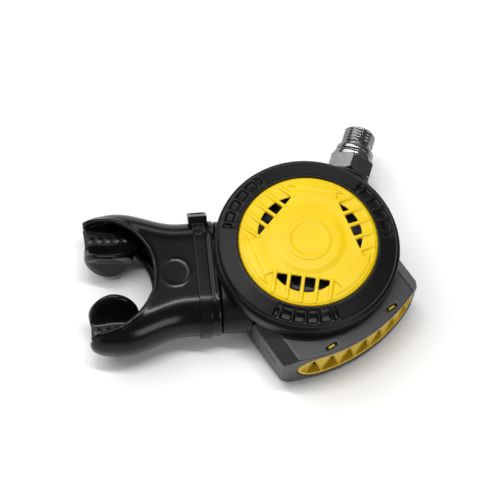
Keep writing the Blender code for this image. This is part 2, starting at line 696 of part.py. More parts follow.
def build_poppet(valve):
    head = BARREL_BORE - 0.6
    shoulder = SEAT_PLANE - 3.5
    pocket = SEAT_PLANE - 1.7
    rubber = head - 1.0
    washer_back = WASHER_FACE - WASHER_THICKNESS
    nut_end = washer_back - GAP - NUT_LENGTH
    stem_start = BARREL_INNER_END + 13.0
    profile = [
        (0, pocket), (rubber + GAP, pocket), (rubber + GAP, SEAT_PLANE - 0.3),
        (head, SEAT_PLANE - 0.3), (head, shoulder), (POPPET_RADIUS, shoulder),
        (POPPET_RADIUS, stem_start), (STEM_RADIUS, stem_start - 0.5),
        (STEM_RADIUS, nut_end - STEM_END), (0, nut_end - STEM_END),
    ]
    finish(turned("poppet", profile, valve, SMALL_STEPS), (0.85, 0.85, 0.8), 0.4)
    seat = rod("poppet_seat", rubber, pocket + GAP, SEAT_PLANE, valve)
    finish(seat, (0.05, 0.05, 0.05), 0.6)
    winding = (BARREL_BORE + POPPET_RADIUS) / 2 - 0.1
    spring = coil("poppet_spring", winding, 0.35, BARREL_INNER_END + 1.5 + GAP, shoulder - GAP, 7,
                  valve)
    finish(spring, (0.6, 0.6, 0.62), 0.3, 1.0)
    hole = STEM_RADIUS + GAP
    washer = tube("lever_washer", hole, hole + 1.9, washer_back, WASHER_FACE, valve)
    finish(washer, (0.6, 0.6, 0.62), 0.3, 1.0)
    corners = arc((0, 0), NUT_ACROSS_FLATS / sqrt(3), 0, 300, 5)
    nut = plate("lock_nut", corners, nut_end, washer_back - GAP, valve)
    cut(nut, rod("nut_hole", hole, nut_end - 1, WASHER_FACE, valve, 16))
    finish(nut, (0.6, 0.6, 0.62), 0.3, 1.0)


def build_lever(valve):
    """A bent strip with a fork over the stem, pivoting on the barrel's end."""
    pivot = bpy.data.objects.new("lever_pivot", None)
    collection(PARTS).objects.link(pivot)
    pivot.parent = valve
    pivot.location = (PIVOT_HEIGHT * MM, 0, LEVER_FORK * MM)
    thick = LEVER_THICKNESS
    clear = BARREL_RADIUS + GAP + 0.1
    rise = LEVER_SWING * LEVER_ARM
    side = [
        (-thick, FOOT_HEIGHT), (-thick, clear + thick), (LEVER_ARM - 3.6, clear + rise + 0.7),
        (LEVER_ARM - 1.8, LEVER_TOP), (LEVER_ARM + 1.8, LEVER_TOP),
        (LEVER_ARM + 1.8, LEVER_TOP - thick), (LEVER_ARM - 1.0, LEVER_TOP - thick),
        (LEVER_ARM - 2.8, clear + rise - 0.5), (0, clear), (0, FOOT_HEIGHT),
    ]
    outline = [(along, height - PIVOT_HEIGHT) for along, height in side]
    lever = plate("lever", outline, -LEVER_HALF_WIDTH, LEVER_HALF_WIDTH, pivot, facing="Y")
    pad_top = LEVER_TOP - PIVOT_HEIGHT
    join(lever, block("lever_pad", (pad_top - thick, -INLET_OFFSET - 1.5, LEVER_ARM - 1.5),
                      (pad_top, LEVER_HALF_WIDTH, LEVER_ARM + 1.5), pivot))
    slot = STEM_RADIUS + GAP
    cut(lever, block("lever_slot", (-PIVOT_HEIGHT - 1, -slot, -thick - 1),
                     (-PIVOT_HEIGHT + 4.0, slot, 1), pivot))
    return finish(lever, (0.62, 0.62, 0.64), 0.3, 1.0)


# ---------------------------------------------------------------- exhaust
def horn_outline(inset, back):
    """Plan of the horn as (across, along) points, moved in by the inset, from back outwards."""
    left = HORN_LEFT - inset
    right = HORN_RIGHT - inset
    radius = HORN_FACE_RADIUS - inset
    centre = HORN_REACH - HORN_FACE_RADIUS
    corner = 2.5
    first = asin((left - corner) / radius)
    last = asin((right - corner) / radius)
    outline = [(left, back), (left, HORN_SIDE_END - inset)]
    for index in range(15):
        angle = first - (first + last) * index / 14
        outline.append((radius * sin(angle), centre + radius * cos(angle)))
    outline += [(-right, HORN_SIDE_END - inset), (-right, back)]
    return outline


def horn_body(name, inset, back, exhaust):
    """The horn's outer or inner form: its plan cut to a section with sloped top corners."""
    half = HORN_HALF_HEIGHT - inset
    body = plate(name, horn_outline(inset, back), -half, half, exhaust, facing="X")
    left = HORN_LEFT - inset
    right = HORN_RIGHT - inset
    slope = HORN_CHAMFER
    sole = HORN_SOLE
    section = [
        (-half, left - sole), (sole - half, left), (half - slope, left), (half, left - slope),
        (half, slope - right), (half - slope, -right), (sole - half, -right),
        (-half, sole - right),
    ]
    return modify(body, plate(f"{name}_section", section, back - 1, HORN_REACH + 1, exhaust),
                  "INTERSECT")


def build_horn(exhaust):
    half = HORN_HALF_HEIGHT
    horn = horn_body("exhaust_horn", 0.0, 6.0, exhaust)
    cut(horn, horn_body("horn_inside", HORN_WALL, -5.0, exhaust))
    cut(horn, rod("case_clearance", CASE_RADIUS + GAP, -5, CASE_DEPTH, None, STEPS))
    low = (-CASE_RADIUS * 2, PORT_Y - PORT_WIDTH / 2 - GAP - 0.1, -10)
    cut(horn, block("port_clearance", low, (-CASE_RADIUS * 0.5, CASE_RADIUS, CASE_DEPTH * 2)))
    opening = stadium(2 * (LOUVRE_HALF_LENGTH + GAP), 2 * (LOUVRE_HALF_HEIGHT + GAP))
    outline = [(height, across) for across, height in reversed(opening)]
    cut(horn, plate("louvre_opening", outline, HORN_SIDE_END - 3, HORN_REACH + 2, exhaust))
    for index, place in enumerate(TAB_PLACES):
        low, high = tab_box(place, GAP, half + 1)
        cut(horn, block(f"tab_window_{index}", low, high, exhaust))
    return finish(horn, (0.03, 0.03, 0.033), 0.35)


def tab_box(place, margin, top):
    """Low and high corners of a louvre tab, grown by the margin, behind the horn's front wall."""
    front = HORN_REACH - place ** 2 / (2 * HORN_FACE_RADIUS) - HORN_WALL - 2 * GAP
    half = TAB_WIDTH / 2 + margin
    return ((LOUVRE_HALF_HEIGHT - 2.2, place - half, front - TAB_THICKNESS - margin),
            (top, place + half, front + margin))


def build_louvre(exhaust):
    """A curved grille with zigzag ribs and two snap tabs."""
    centre = (0, HORN_REACH - HORN_FACE_RADIUS)
    face = HORN_FACE_RADIUS - GAP
    reach = LOUVRE_HALF_LENGTH + 2
    spread = 90 - asin(reach / face) * 180 / pi
    band = arc(centre, face, spread, 180 - spread, 17)
    band += arc(centre, face - LOUVRE_THICKNESS, 180 - spread, spread, 17)
    height = LOUVRE_HALF_HEIGHT
    louvre = plate("exhaust_louvre", band, -height, height, exhaust, facing="X")
    outline = [(h, w) for w, h in reversed(stadium(2 * LOUVRE_HALF_LENGTH, 2 * height))]
    modify(louvre, plate("louvre_shape", outline, 0, HORN_REACH + 5, exhaust), "INTERSECT")
    for index in range(LOUVRE_BAYS):
        cut(louvre, louvre_bay(index, exhaust))
    for index, place in enumerate(TAB_PLACES):
        low, high = tab_box(place, 0.0, HORN_HALF_HEIGHT - 0.4)
        join(louvre, block(f"snap_tab_{index}", low, high, exhaust))
    return finish(louvre, (0.85, 0.6, 0.05), 0.45)


def louvre_bay(index, exhaust):
    """A triangular opening, point up, that stays inside the grille's rails."""
    pitch = 2 * (LOUVRE_HALF_LENGTH - LOUVRE_END) / LOUVRE_BAYS
    middle = pitch * (index - (LOUVRE_BAYS - 1) / 2)
    half = (pitch - LOUVRE_RIB) / 2
    inner = LOUVRE_HALF_HEIGHT - LOUVRE_RAIL
    triangle = [(-inner - 0.1, middle - half), (-inner - 0.1, middle + half),
                (inner - LOUVRE_APEX_GAP, middle)]
    bay = plate(f"bay_{index}", triangle, 0, HORN_REACH + 5, exhaust)
    rails = [(h, w) for w, h in reversed(stadium(2 * (LOUVRE_HALF_LENGTH - LOUVRE_RAIL),
                                                 2 * inner))]
    limit = plate(f"bay_limit_{index}", rails, -1, HORN_REACH + 6, exhaust)
    return modify(bay, limit, "INTERSECT")


def build_exhaust_valve(exhaust):
    disc = VALVE_DISC_RADIUS
    face = SEAT_FACE + GAP
    inside = SEAT_FACE - SEAT_THICKNESS - GAP
    profile = [
        (0, face + 1.6), (2.0, face + 1.4), (disc - 1.0, face + 0.7), (disc, face + 0.4),
        (disc, face), (0.9, face), (0.9, inside), (1.7, inside - 0.2), (1.5, inside - 2.2),
        (0, inside - 2.9),
    ]
    valve = turned("exhaust_valve", profile, exhaust, SMALL_STEPS)
    return finish(valve, (0.06, 0.06, 0.065), 0.5)


# ---------------------------------------------------------------- mouthpiece
def mouth_ring(distance, width, height):
    """One cross-section of the mouthpiece at a distance from the axis."""
    outline = stadium(width, height, (PORT_Y, PORT_Z))
    return [(-distance, across, up) for across, up in outline]


def mouth_shell(name, inset, start, end):
    """Outer or inner form of the mouthpiece, from the neck to the cheek tips."""
    swell = MOUTH_WIDTH - NECK_WIDTH
    rise = MOUTH_HEIGHT - NECK_HEIGHT
    rings = []
    for share in (0.0, 0.28, 0.42, 0.54, 0.66, 0.78, 0.9, 1.0):
        distance = start + (end - start) * share
        bulge = sin(pi / 2 * max(0.0, min(1.0, (share - 0.25) / 0.5))) ** 2
        taper = TIP_TAPER * max(0.0, share - 0.78) / 0.22
        width = NECK_WIDTH + swell * bulge - taper - 2 * inset
        height = NECK_HEIGHT + rise * bulge - taper - 2 * inset
        rings.append(mouth_ring(distance, width, height))
    return loft(name, rings)


def build_mouthpiece():
    start = PORT_SHOULDER + GAP
    mouthpiece = mouth_shell("mouthpiece", 0.0, start, MOUTH_REACH)
    spigot_end = PORT_SHOULDER + SPIGOT_LENGTH
    bead = port_outline(NECK_WIDTH + 2 * NECK_BEAD, NECK_HEIGHT + 2 * NECK_BEAD)
    join(mouthpiece, plate("neck_bead", bead, -start - NECK_BEAD_LENGTH, -start, facing="X"))
    cut(mouthpiece, mouth_shell("mouth_inside", MOUTH_WALL, spigot_end + 1.5, MOUTH_REACH + 2))
    socket = port_outline(SPIGOT_WIDTH + 2 * GAP, SPIGOT_HEIGHT + 2 * GAP)
    cut(mouthpiece, plate("socket", socket, -spigot_end - GAP, -start + 10, facing="X"))
    airway = port_outline(PORT_BORE_WIDTH, PORT_BORE_HEIGHT)
    cut(mouthpiece, plate("airway", airway, -spigot_end - 5, -spigot_end + 5, facing="X"))
    cut(mouthpiece, plate("lip_cut", lip_outline(), -10, 50))
    for side in (-1, 1):
        join(mouthpiece, *bite_tab(side))
    return finish(mouthpiece, (0.015, 0.015, 0.017), 0.3)


def lip_outline():
    """U-shaped plan cut that leaves the two cheeks."""
    centre = (-(LIP_APEX + LIP_RADIUS), PORT_Y)
    turn = radians(LIP_TURN)
    outline = arc(centre, LIP_RADIUS, -LIP_TURN, LIP_TURN, 12)
    far = MOUTH_REACH + 10
    run = far + centre[0] + LIP_RADIUS * cos(turn)
    drift = LIP_RADIUS * sin(turn) + run / tan(turn)
    return outline + [(-far, PORT_Y + drift), (-far, PORT_Y - drift)]


def bite_tab(side):
    """A bite wing between the cheek and its tongue plate."""
    root = LIP_APEX + 6.7
    near = BITE_SPACE + 1.5
    cheek = MOUTH_WIDTH / 2
    plan = [(root, near + 3.5), (root + 4.0, near), (MOUTH_REACH - 3.5, near),
            (MOUTH_REACH - 2.5, cheek - 4.5), (MOUTH_REACH - 15.0, cheek - 1.6),
            (root, cheek - 4.0)]
    outline = [(-along, PORT_Y + side * across) for along, across in plan]
    wing = plate(f"bite_wing_{side}", outline, PORT_Z - BITE_THICKNESS / 2,
                 PORT_Z + BITE_THICKNESS / 2)
    inner = PORT_Y + side * BITE_SPACE
    outer = inner + side * TONGUE_THICKNESS
    disc = arc((PORT_Z, -TONGUE_CENTRE), TONGUE_RADIUS, 0, 345, 23)
    tongue = plate(f"tongue_plate_{side}", disc, min(inner, outer), max(inner, outer), facing="Y")
    return wing, tongue


def build_strap():
    low = -STRAP_CENTRE - STRAP_WIDTH / 2
    high = -STRAP_CENTRE + STRAP_WIDTH / 2
    inner_width = NECK_WIDTH + 2 * GAP
    inner_height = NECK_HEIGHT + 2 * GAP
    grow = 2 * STRAP_THICKNESS
    strap = plate("mouthpiece_strap", port_outline(inner_width + grow, inner_height + grow),
                  low, high, facing="X")
    along, around, out = STRAP_HEAD
    middle = inner_width / 2 - inner_height / 2
    turn = radians(STRAP_HEAD_ANGLE)
    radius = inner_height / 2 + 0.2
    head = block("strap_head", (-along / 2, -around / 2, 0), (along / 2, around / 2, out))
    place = Vector((-STRAP_CENTRE, PORT_Y + middle + radius * cos(turn),
                    PORT_Z + radius * sin(turn)))
    head.matrix_world = Matrix.Translation(place * MM) @ Matrix.Rotation(turn - pi / 2, 4, "X")
    join(strap, head)
    cut(strap, plate("strap_inside", port_outline(inner_width, inner_height), low - 4, high + 4,
                     facing="X"))
    return finish(strap, (0.015, 0.015, 0.015), 0.4)


def main():
    clear_scene()
    valve = frame("valve_axis", INLET_ANGLE, INLET_OFFSET, INLET_Z)
    exhaust = frame("exhaust_axis", EXHAUST_ANGLE, 0.0, EXHAUST_Z)
    build_case(valve, exhaust)
    build_ring()
    build_purge_cover()
    build_clamp()
    build_diaphragm()
    build_stack()
    build_barrel(valve)
    build_fitting(valve)
    build_orifice(valve)
    build_poppet(valve)
    build_lever(valve)
    build_horn(exhaust)
    build_louvre(exhaust)
    build_exhaust_valve(exhaust)
    build_mouthpiece()
    build_strap()


main()
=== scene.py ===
"""Looks of a scuba regulator's second stage, built round its packed mechanical frame.

Every piece is built in millimetres in the frame's own axes: +Z out of the purge cover, the
mouthpiece along -X. Meshes are turned into metres when they become objects.
"""

import json
import logging
import math
from dataclasses import dataclass, field
from enum import Enum
from typing import Iterable, Sequence

import bmesh
import bpy
from mathutils import Matrix, Vector

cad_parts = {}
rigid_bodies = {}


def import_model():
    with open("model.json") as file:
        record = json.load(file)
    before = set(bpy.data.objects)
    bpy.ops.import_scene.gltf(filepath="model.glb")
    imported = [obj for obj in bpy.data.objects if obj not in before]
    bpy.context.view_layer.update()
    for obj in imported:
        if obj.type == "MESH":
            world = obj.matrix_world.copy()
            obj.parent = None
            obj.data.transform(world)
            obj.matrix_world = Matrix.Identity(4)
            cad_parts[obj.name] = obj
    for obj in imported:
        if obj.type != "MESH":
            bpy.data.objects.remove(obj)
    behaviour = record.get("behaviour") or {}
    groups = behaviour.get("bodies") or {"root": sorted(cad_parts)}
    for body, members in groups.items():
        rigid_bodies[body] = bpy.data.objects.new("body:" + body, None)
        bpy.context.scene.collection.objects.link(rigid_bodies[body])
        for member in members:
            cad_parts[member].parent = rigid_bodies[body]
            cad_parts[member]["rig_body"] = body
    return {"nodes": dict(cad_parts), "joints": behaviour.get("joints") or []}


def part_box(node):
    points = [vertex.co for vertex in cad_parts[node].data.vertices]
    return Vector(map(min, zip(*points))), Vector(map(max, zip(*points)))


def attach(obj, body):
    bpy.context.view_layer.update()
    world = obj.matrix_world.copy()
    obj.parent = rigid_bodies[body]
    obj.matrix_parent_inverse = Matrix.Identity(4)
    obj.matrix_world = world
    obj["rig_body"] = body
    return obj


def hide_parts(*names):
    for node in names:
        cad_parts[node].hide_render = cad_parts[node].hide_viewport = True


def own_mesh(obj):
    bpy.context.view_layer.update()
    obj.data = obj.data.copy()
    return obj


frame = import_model()

LOG = logging.getLogger("second_stage")
MM = 0.001
GAP = 0.3
COVER_FLANGE = 2.2
RING_OVERHANG = 4.3
Point2 = tuple[float, float]
Point3 = tuple[float, float, float]


class Operation(Enum):
    """How one solid changes another."""

    UNION = "UNION"
    DIFFERENCE = "DIFFERENCE"
    INTERSECT = "INTERSECT"


class Slot(Enum):
    """Material slots of the record."""

    CASE = "case_nylon"
    HORN = "horn_plastic"
    COVER = "yellow_cover"
    LOUVRE = "yellow_louvre"
    MOUTH = "black_silicone"
    STRAP = "strap_nylon"
    NICKEL = "satin_nickel"
    STEEL = "steel"
    ACETAL = "poppet_plastic"


# ---------------------------------------------------------------- places read from the frame
@dataclass(frozen=True)
class Datum:
    """Places of the frame's nodes, in millimetres.

    Args:
        cover_low: lowest corner of the purge cover.
        cover_high: highest corner of the purge cover.
        ring_low: lowest corner of the cover ring.
        ring_high: highest corner of the cover ring.
        mouth_low: lowest corner of the mouthpiece.
        mouth_high: highest corner of the mouthpiece.
        horn_low: lowest corner of the exhaust horn.
        horn_high: highest corner of the exhaust horn.
        valve_axis: direction of the hose inlet, out of the case.
        valve_height: height of the valve's axis.
        valve_offset: distance from the valve's axis to the cover's axis.
        flap: middle of the exhaust flap.
    """

    cover_low: Vector
    cover_high: Vector
    ring_low: Vector
    ring_high: Vector
    mouth_low: Vector
    mouth_high: Vector
    horn_low: Vector
    horn_high: Vector
    valve_axis: Vector
    valve_height: float
    valve_offset: float
    flap: Vector

    @staticmethod
    def read() -> "Datum":
        """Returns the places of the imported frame."""
        corners = {node: [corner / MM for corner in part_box(node)]
                   for node in ("purge_cover", "cover_ring", "mouthpiece", "exhaust_horn",
                                "exhaust_valve", "poppet_seat")}
        slide = next(joint for joint in frame["joints"] if joint["name"] == "poppet_slide")
        axis = -Vector(slide["axis"]).normalized()
        side = Vector((axis.y, -axis.x, 0.0))
        seat = (corners["poppet_seat"][0] + corners["poppet_seat"][1]) / 2
        flap = (corners["exhaust_valve"][0] + corners["exhaust_valve"][1]) / 2
        return Datum(*corners["purge_cover"], *corners["cover_ring"], *corners["mouthpiece"],
                     *corners["exhaust_horn"], axis, seat.z, seat.dot(side), flap)

    @property
    def cover_radius(self) -> float:
        """Radius of the cover's rim, inside its hidden flange."""
        return self.cover_high.x - COVER_FLANGE

    @property
    def ring_radius(self) -> float:
        """Outer radius of the cover ring."""
        return self.ring_high.x

    @property
    def case_radius(self) -> float:
        """Outer radius of the case's wall."""
        return self.ring_radius - RING_OVERHANG

    def valve_place(self) -> Matrix:
        """Local axes of the demand valve: X up, Y to its right, Z out of the inlet."""
        return local_axes(self.valve_axis, self.valve_offset, self.valve_height)

    def exhaust_place(self) -> Matrix:
        """Local axes of the exhaust horn: X up, Y to its right, Z out of the louvre."""
        outward = Vector((self.flap.x, self.flap.y, 0.0)).normalized()
        return local_axes(outward, 0.0, self.flap.z)


def local_axes(along: Vector, offset: float, height: float) -> Matrix:
    """Builds axes with Z along a level direction and X up.

    Args:
        along: level direction that Z takes.
        offset: shift to the right of that direction.
        height: height of the axes' origin.

    Returns:
        The matrix from local to frame coordinates, in millimetres.
    """
    side = Vector((along.y, -along.x, 0.0))
    turn = Matrix((Vector((0, 0, 1)), side, along)).transposed().to_4x4()
    return Matrix.Translation(side * offset + Vector((0, 0, height))) @ turn


# ---------------------------------------------------------------- outlines
def arc(centre: Point2, radius: float, start: float, end: float, count: int) -> list[Point2]:
    """Returns count + 1 points on an arc, with its angles in degrees."""
    turns = [math.radians(start + (end - start) * i / count) for i in range(count + 1)]
    return [(centre[0] + radius * math.cos(t), centre[1] + radius * math.sin(t)) for t in turns]


def stadium(width: float, height: float, centre: Point2 = (0.0, 0.0),
            count: int = 24) -> list[Point2]:
    """Returns a flat oval with two round ends of count segments."""
    radius = height / 2
    reach = width / 2 - radius
    right = arc((centre[0] + reach, centre[1]), radius, -90, 90, count)
    return right + arc((centre[0] - reach, centre[1]), radius, 90, 270, count)


def rounded(points: Sequence[tuple[float, float, float]], steps: int = 4) -> list[Point2]:
    """Rounds the corners of a line.

    Args:
        points: corners as (first, second, fillet radius).
        steps: segments in each fillet.

    Returns:
        The line's points, with an arc at each corner that has a radius.
    """
    result: list[Point2] = []
    for index, (x, y, radius) in enumerate(points):
        here = Vector((x, y))
        if radius <= 0 or index in (0, len(points) - 1):
            result.append((x, y))
            continue
        before = Vector(points[index - 1][:2]) - here
        after = Vector(points[index + 1][:2]) - here
        half = before.angle(after) / 2
        reach = min(radius / math.tan(half), before.length * 0.49, after.length * 0.49)
        first = here + before.normalized() * reach
        last = here + after.normalized() * reach
        for step in range(steps + 1):
            share = step / steps
            point = first * (1 - share) ** 2 + here * 2 * share * (1 - share) + last * share ** 2
            result.append((point.x, point.y))
    return result


def turned_point(angle: float, along: float, across: float) -> Point2:
    """Returns the plan point at a distance along a direction in degrees, and across it."""
    turn = math.radians(angle)
    return (along * math.cos(turn) - across * math.sin(turn),
            along * math.sin(turn) + across * math.cos(turn))


# ---------------------------------------------------------------- solids
class Solid:
    """A closed mesh in millimetres, with the operations that shape it."""

    def __init__(self, work: bmesh.types.BMesh) -> None:
        """Takes over a bmesh and turns its faces outwards."""
        bmesh.ops.remove_doubles(work, verts=work.verts, dist=0.0005)
        bmesh.ops.recalc_face_normals(work, faces=work.faces)
        self.mesh = bpy.data.meshes.new("solid")
        work.to_mesh(self.mesh)
        work.free()

    @staticmethod
    def of(mesh: bpy.types.Mesh) -> "Solid":
        """Wraps a mesh that is already closed and faces outwards."""
        solid = Solid.__new__(Solid)
        solid.mesh = mesh
        return solid

    @staticmethod
    def turned(profile: Sequence[Point2], steps: int = 128, closed: bool = False) -> "Solid":
        """Turns a profile of (radius, height) points about Z.

        Args:
            profile: points from the axis round the section and back, or a closed loop.
            steps: segments round the axis.
            closed: whether the profile is a loop clear of the axis.

        Returns:
            The turned solid.
        """
        work = bmesh.new()
        rings = []
        for radius, height in profile:
            if radius < 1e-6:
                rings.append([work.verts.new((0, 0, height))] * steps)
                continue
            turns = [math.tau * i / steps for i in range(steps)]
            rings.append([work.verts.new((radius * math.cos(t), radius * math.sin(t), height))
                          for t in turns])
        pairs = list(zip(rings, rings[1:]))
        if closed:
            pairs.append((rings[-1], rings[0]))
        for low, high in pairs:
            for i in range(steps):
                j = (i + 1) % steps
                corners = list(dict.fromkeys((low[i], low[j], high[j], high[i])))
                if len(corners) > 2:
                    work.faces.new(corners)
        return Solid(work)

    @staticmethod
    def loft(rings: Sequence[Sequence[Point3]]) -> "Solid":
        """Joins rings of points, all with the same count, and caps the two ends."""
        work = bmesh.new()
        rows = [[work.verts.new(point) for point in ring] for ring in rings]
        count = len(rows[0])
        for low, high in zip(rows, rows[1:]):
            for i in range(count):
                j = (i + 1) % count
                work.faces.new((low[i], low[j], high[j], high[i]))
        work.faces.new(rows[0][::-1])
        work.faces.new(rows[-1])
        return Solid(work)

    @staticmethod
    def prism(outline: Sequence[Point2], low: float, high: float) -> "Solid":
        """Extrudes a plan outline from low to high along Z."""
        return Solid.loft([[(x, y, z) for x, y in outline] for z in (low, high)])

    @staticmethod
    def box(low: Point3, high: Point3) -> "Solid":
        """Builds a block between two corners."""
        plan = [(low[0], low[1]), (high[0], low[1]), (high[0], high[1]), (low[0], high[1])]
        return Solid.prism(plan, low[2], high[2])

    @staticmethod
    def rod(radius: float, low: float, high: float, steps: int = 64) -> "Solid":
        """Builds a cylinder about Z."""
        return Solid.prism(arc((0, 0), radius, 0, 360 - 360 / steps, steps - 1), low, high)

    @staticmethod
    def tube_along(path: Sequence[Point3], radius: float, sides: int = 12) -> "Solid":
        """Sweeps a round section of one radius along an open path."""
        rings = []
        for index, point in enumerate(path):
            before = Vector(path[max(index - 1, 0)])
            after = Vector(path[min(index + 1, len(path) - 1)])
            along = (after - before).normalized()
            side = along.cross(Vector((0, 0, 1))).normalized()
            top = side.cross(along)
            rings.append([tuple(Vector(point) + side * radius * math.cos(t)
                                + top * radius * math.sin(t))
                          for t in (math.tau * k / sides for k in range(sides))])
        return Solid.loft(rings)

    def moved(self, matrix: Matrix) -> "Solid":
        """Moves the solid by a matrix and returns it."""
        self.mesh.transform(matrix)
        return self

    def change(self, operation: Operation, *tools: "Solid") -> "Solid":
        """Applies a Boolean with each tool in turn and returns the solid."""
        base = scratch_object(self.mesh)
        others = []
        for tool in tools:
            other = scratch_object(tool.mesh)
            others.append(other)
            change = base.modifiers.new("change", "BOOLEAN")
            change.operation = operation.value
            change.solver = "MANIFOLD"
            change.object = other
        self.mesh = evaluated_mesh(base)
        for item in [base, *others]:
            bpy.data.objects.remove(item, do_unlink=True)
        return self

    def cut(self, *tools: "Solid") -> "Solid":
        """Removes each tool from the solid."""
        return self.change(Operation.DIFFERENCE, *tools)

    def join(self, *tools: "Solid") -> "Solid":
        """Adds each tool to the solid."""
        return self.change(Operation.UNION, *tools)

    def keep(self, *tools: "Solid") -> "Solid":
        """Keeps only what lies inside each tool."""
        return self.change(Operation.INTERSECT, *tools)

    def merged(self, *others: "Solid") -> "Solid":
        """Puts overlapping solids into one mesh, which softened() then unites."""
        work = bmesh.new()
        for item in (self, *others):
            work.from_mesh(item.mesh)
        mesh = bpy.data.meshes.new("merged")
        work.to_mesh(mesh)
        work.free()
        self.mesh = mesh
        return self

    def softened(self, voxel: float, passes: int = 3, strength: float = 0.5) -> "Solid":
        """Gives the solid one even skin with moulded, rounded edges.

        Args:
            voxel: size of the skin's faces.
            passes: smoothing passes, which set how round the edges get.
            strength: share of each smoothing step.

        Returns:
            The softened solid.
        """
        base = scratch_object(self.mesh)
        remesh = base.modifiers.new("skin", "REMESH")
        remesh.mode = "VOXEL"
        remesh.voxel_size = voxel
        smooth = base.modifiers.new("edges", "SMOOTH")
        smooth.factor = strength
        smooth.iterations = passes
        self.mesh = evaluated_mesh(base)
        bpy.data.objects.remove(base, do_unlink=True)
        return self


def scratch_object(mesh: bpy.types.Mesh) -> bpy.types.Object:
    """Links a short-lived object that holds a mesh."""
    item = bpy.data.objects.new("scratch", mesh)
    bpy.context.scene.collection.objects.link(item)
    return item


def evaluated_mesh(item: bpy.types.Object) -> bpy.types.Mesh:
    """Returns the mesh of an object with its modifiers applied."""
    bpy.context.view_layer.update()
    graph = bpy.context.evaluated_depsgraph_get()
    return bpy.data.meshes.new_from_object(item.evaluated_get(graph))


def publish(name: str, solid: Solid, body: str, finish: "Finish",
            nodes: Iterable[str] = (), sharp: float = 180.0) -> bpy.types.Object:
    """Makes the finished piece that the frame carries.

    Args:
        name: name of the piece.
        solid: its shape, in millimetres.
        body: body of the frame that it rides on.
        finish: material that dresses it.
        nodes: frame nodes that it stands for.
        sharp: angle in degrees past which an edge stays crisp.

    Returns:
        The new object.
    """
    solid.mesh.transform(Matrix.Scale(MM, 4))
    solid.mesh.name = name
    item = bpy.data.objects.new(name, solid.mesh)
    bpy.context.scene.collection.objects.link(item)
    item.data.materials.clear()
    item.data.materials.append(finish.material())
    item.data.shade_smooth()
    if sharp < 180.0:
        item.data.set_sharp_from_angle(angle=math.radians(sharp))
    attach(item, body)
    if nodes:
        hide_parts(*nodes)
    triangles = sum(len(face.vertices) - 2 for face in item.data.polygons)
    LOG.info("%s: %d triangles on %s", name, triangles, body)
    return item


# ---------------------------------------------------------------- finishes
Colour = tuple[float, float, float]


class Finish:
    """A material that is made once, from nodes on Object coordinates."""

    name: str
    made: dict[str, bpy.types.Material] = {}

    def material(self) -> bpy.types.Material:
        """Returns the finish's material, made at its first use."""
        if self.name not in Finish.made:
            material = bpy.data.materials.new(self.name)
            material.use_nodes = True
            self.dress(material.node_tree)
            Finish.made[self.name] = material
        return Finish.made[self.name]

    def dress(self, tree: bpy.types.NodeTree) -> None:
        """Fills the node tree; each finish has its own."""
        raise NotImplementedError


def shader_of(tree: bpy.types.NodeTree, **values: object) -> bpy.types.Node:
    """Sets uniform values on the shader's own sockets and returns it."""
    shader = tree.nodes["Principled BSDF"]
    for name, value in values.items():
        shader.inputs[name.replace("_", " ")].default_value = value
    return shader


def placed_noise(tree: bpy.types.NodeTree, scale: float, detail: float,
                 stretch: Point3 = (1.0, 1.0, 1.0), turn: float = 0.0) -> bpy.types.Node:
    """Adds a noise on Object coordinates, in a texture space of its own.

    Args:
        tree: material's node tree.
        scale: noise periods in a metre.
        detail: octaves of finer noise.
        stretch: size of the pattern along each of its axes.
        turn: turn of the pattern about Z, in radians.

    Returns:
        The noise node.
    """
    place = tree.nodes.new("ShaderNodeTexCoord")
    mapping = tree.nodes.new("ShaderNodeMapping")
    mapping.vector_type = "TEXTURE"
    mapping.inputs["Scale"].default_value = stretch
    mapping.inputs["Rotation"].default_value = (0.0, 0.0, turn)
    noise = tree.nodes.new("ShaderNodeTexNoise")
    noise.inputs["Scale"].default_value = scale
    noise.inputs["Detail"].default_value = detail
    tree.links.new(place.outputs["Object"], mapping.inputs["Vector"])
    tree.links.new(mapping.outputs["Vector"], noise.inputs["Vector"])
    return noise


def ramp(tree: bpy.types.NodeTree, source: bpy.types.NodeSocket, low: float, high: float,
         first: Colour, last: Colour) -> bpy.types.NodeSocket:
    """Blends from one colour to another as the source goes from low to high."""
    node = tree.nodes.new("ShaderNodeValToRGB")
    node.color_ramp.elements[0].position = low
    node.color_ramp.elements[1].position = high
    node.color_ramp.elements[0].color = (*first, 1.0)
    node.color_ramp.elements[1].color = (*last, 1.0)
    tree.links.new(source, node.inputs["Fac"])
    return node.outputs["Color"]


def span(tree: bpy.types.NodeTree, source: bpy.types.NodeSocket, low: float,
         high: float) -> bpy.types.NodeSocket:
    """Maps the useful middle of a noise to a range."""
    node = tree.nodes.new("ShaderNodeMapRange")
    node.inputs["From Min"].default_value = 0.3
    node.inputs["From Max"].default_value = 0.7
    node.inputs["To Min"].default_value = low
    node.inputs["To Max"].default_value = high
    tree.links.new(source, node.inputs["Value"])
    return node.outputs["Result"]


def bump(tree: bpy.types.NodeTree, source: bpy.types.NodeSocket, strength: float, depth: float,
         under: bpy.types.Node | None = None) -> bpy.types.Node:
    """Adds a bump of the given depth in metres, over another one if there is one."""
    node = tree.nodes.new("ShaderNodeBump")
    node.inputs["Strength"].default_value = strength
    node.inputs["Distance"].default_value = depth
    tree.links.new(source, node.inputs["Height"])
    if under is not None:
        tree.links.new(under.outputs["Normal"], node.inputs["Normal"])
    return node


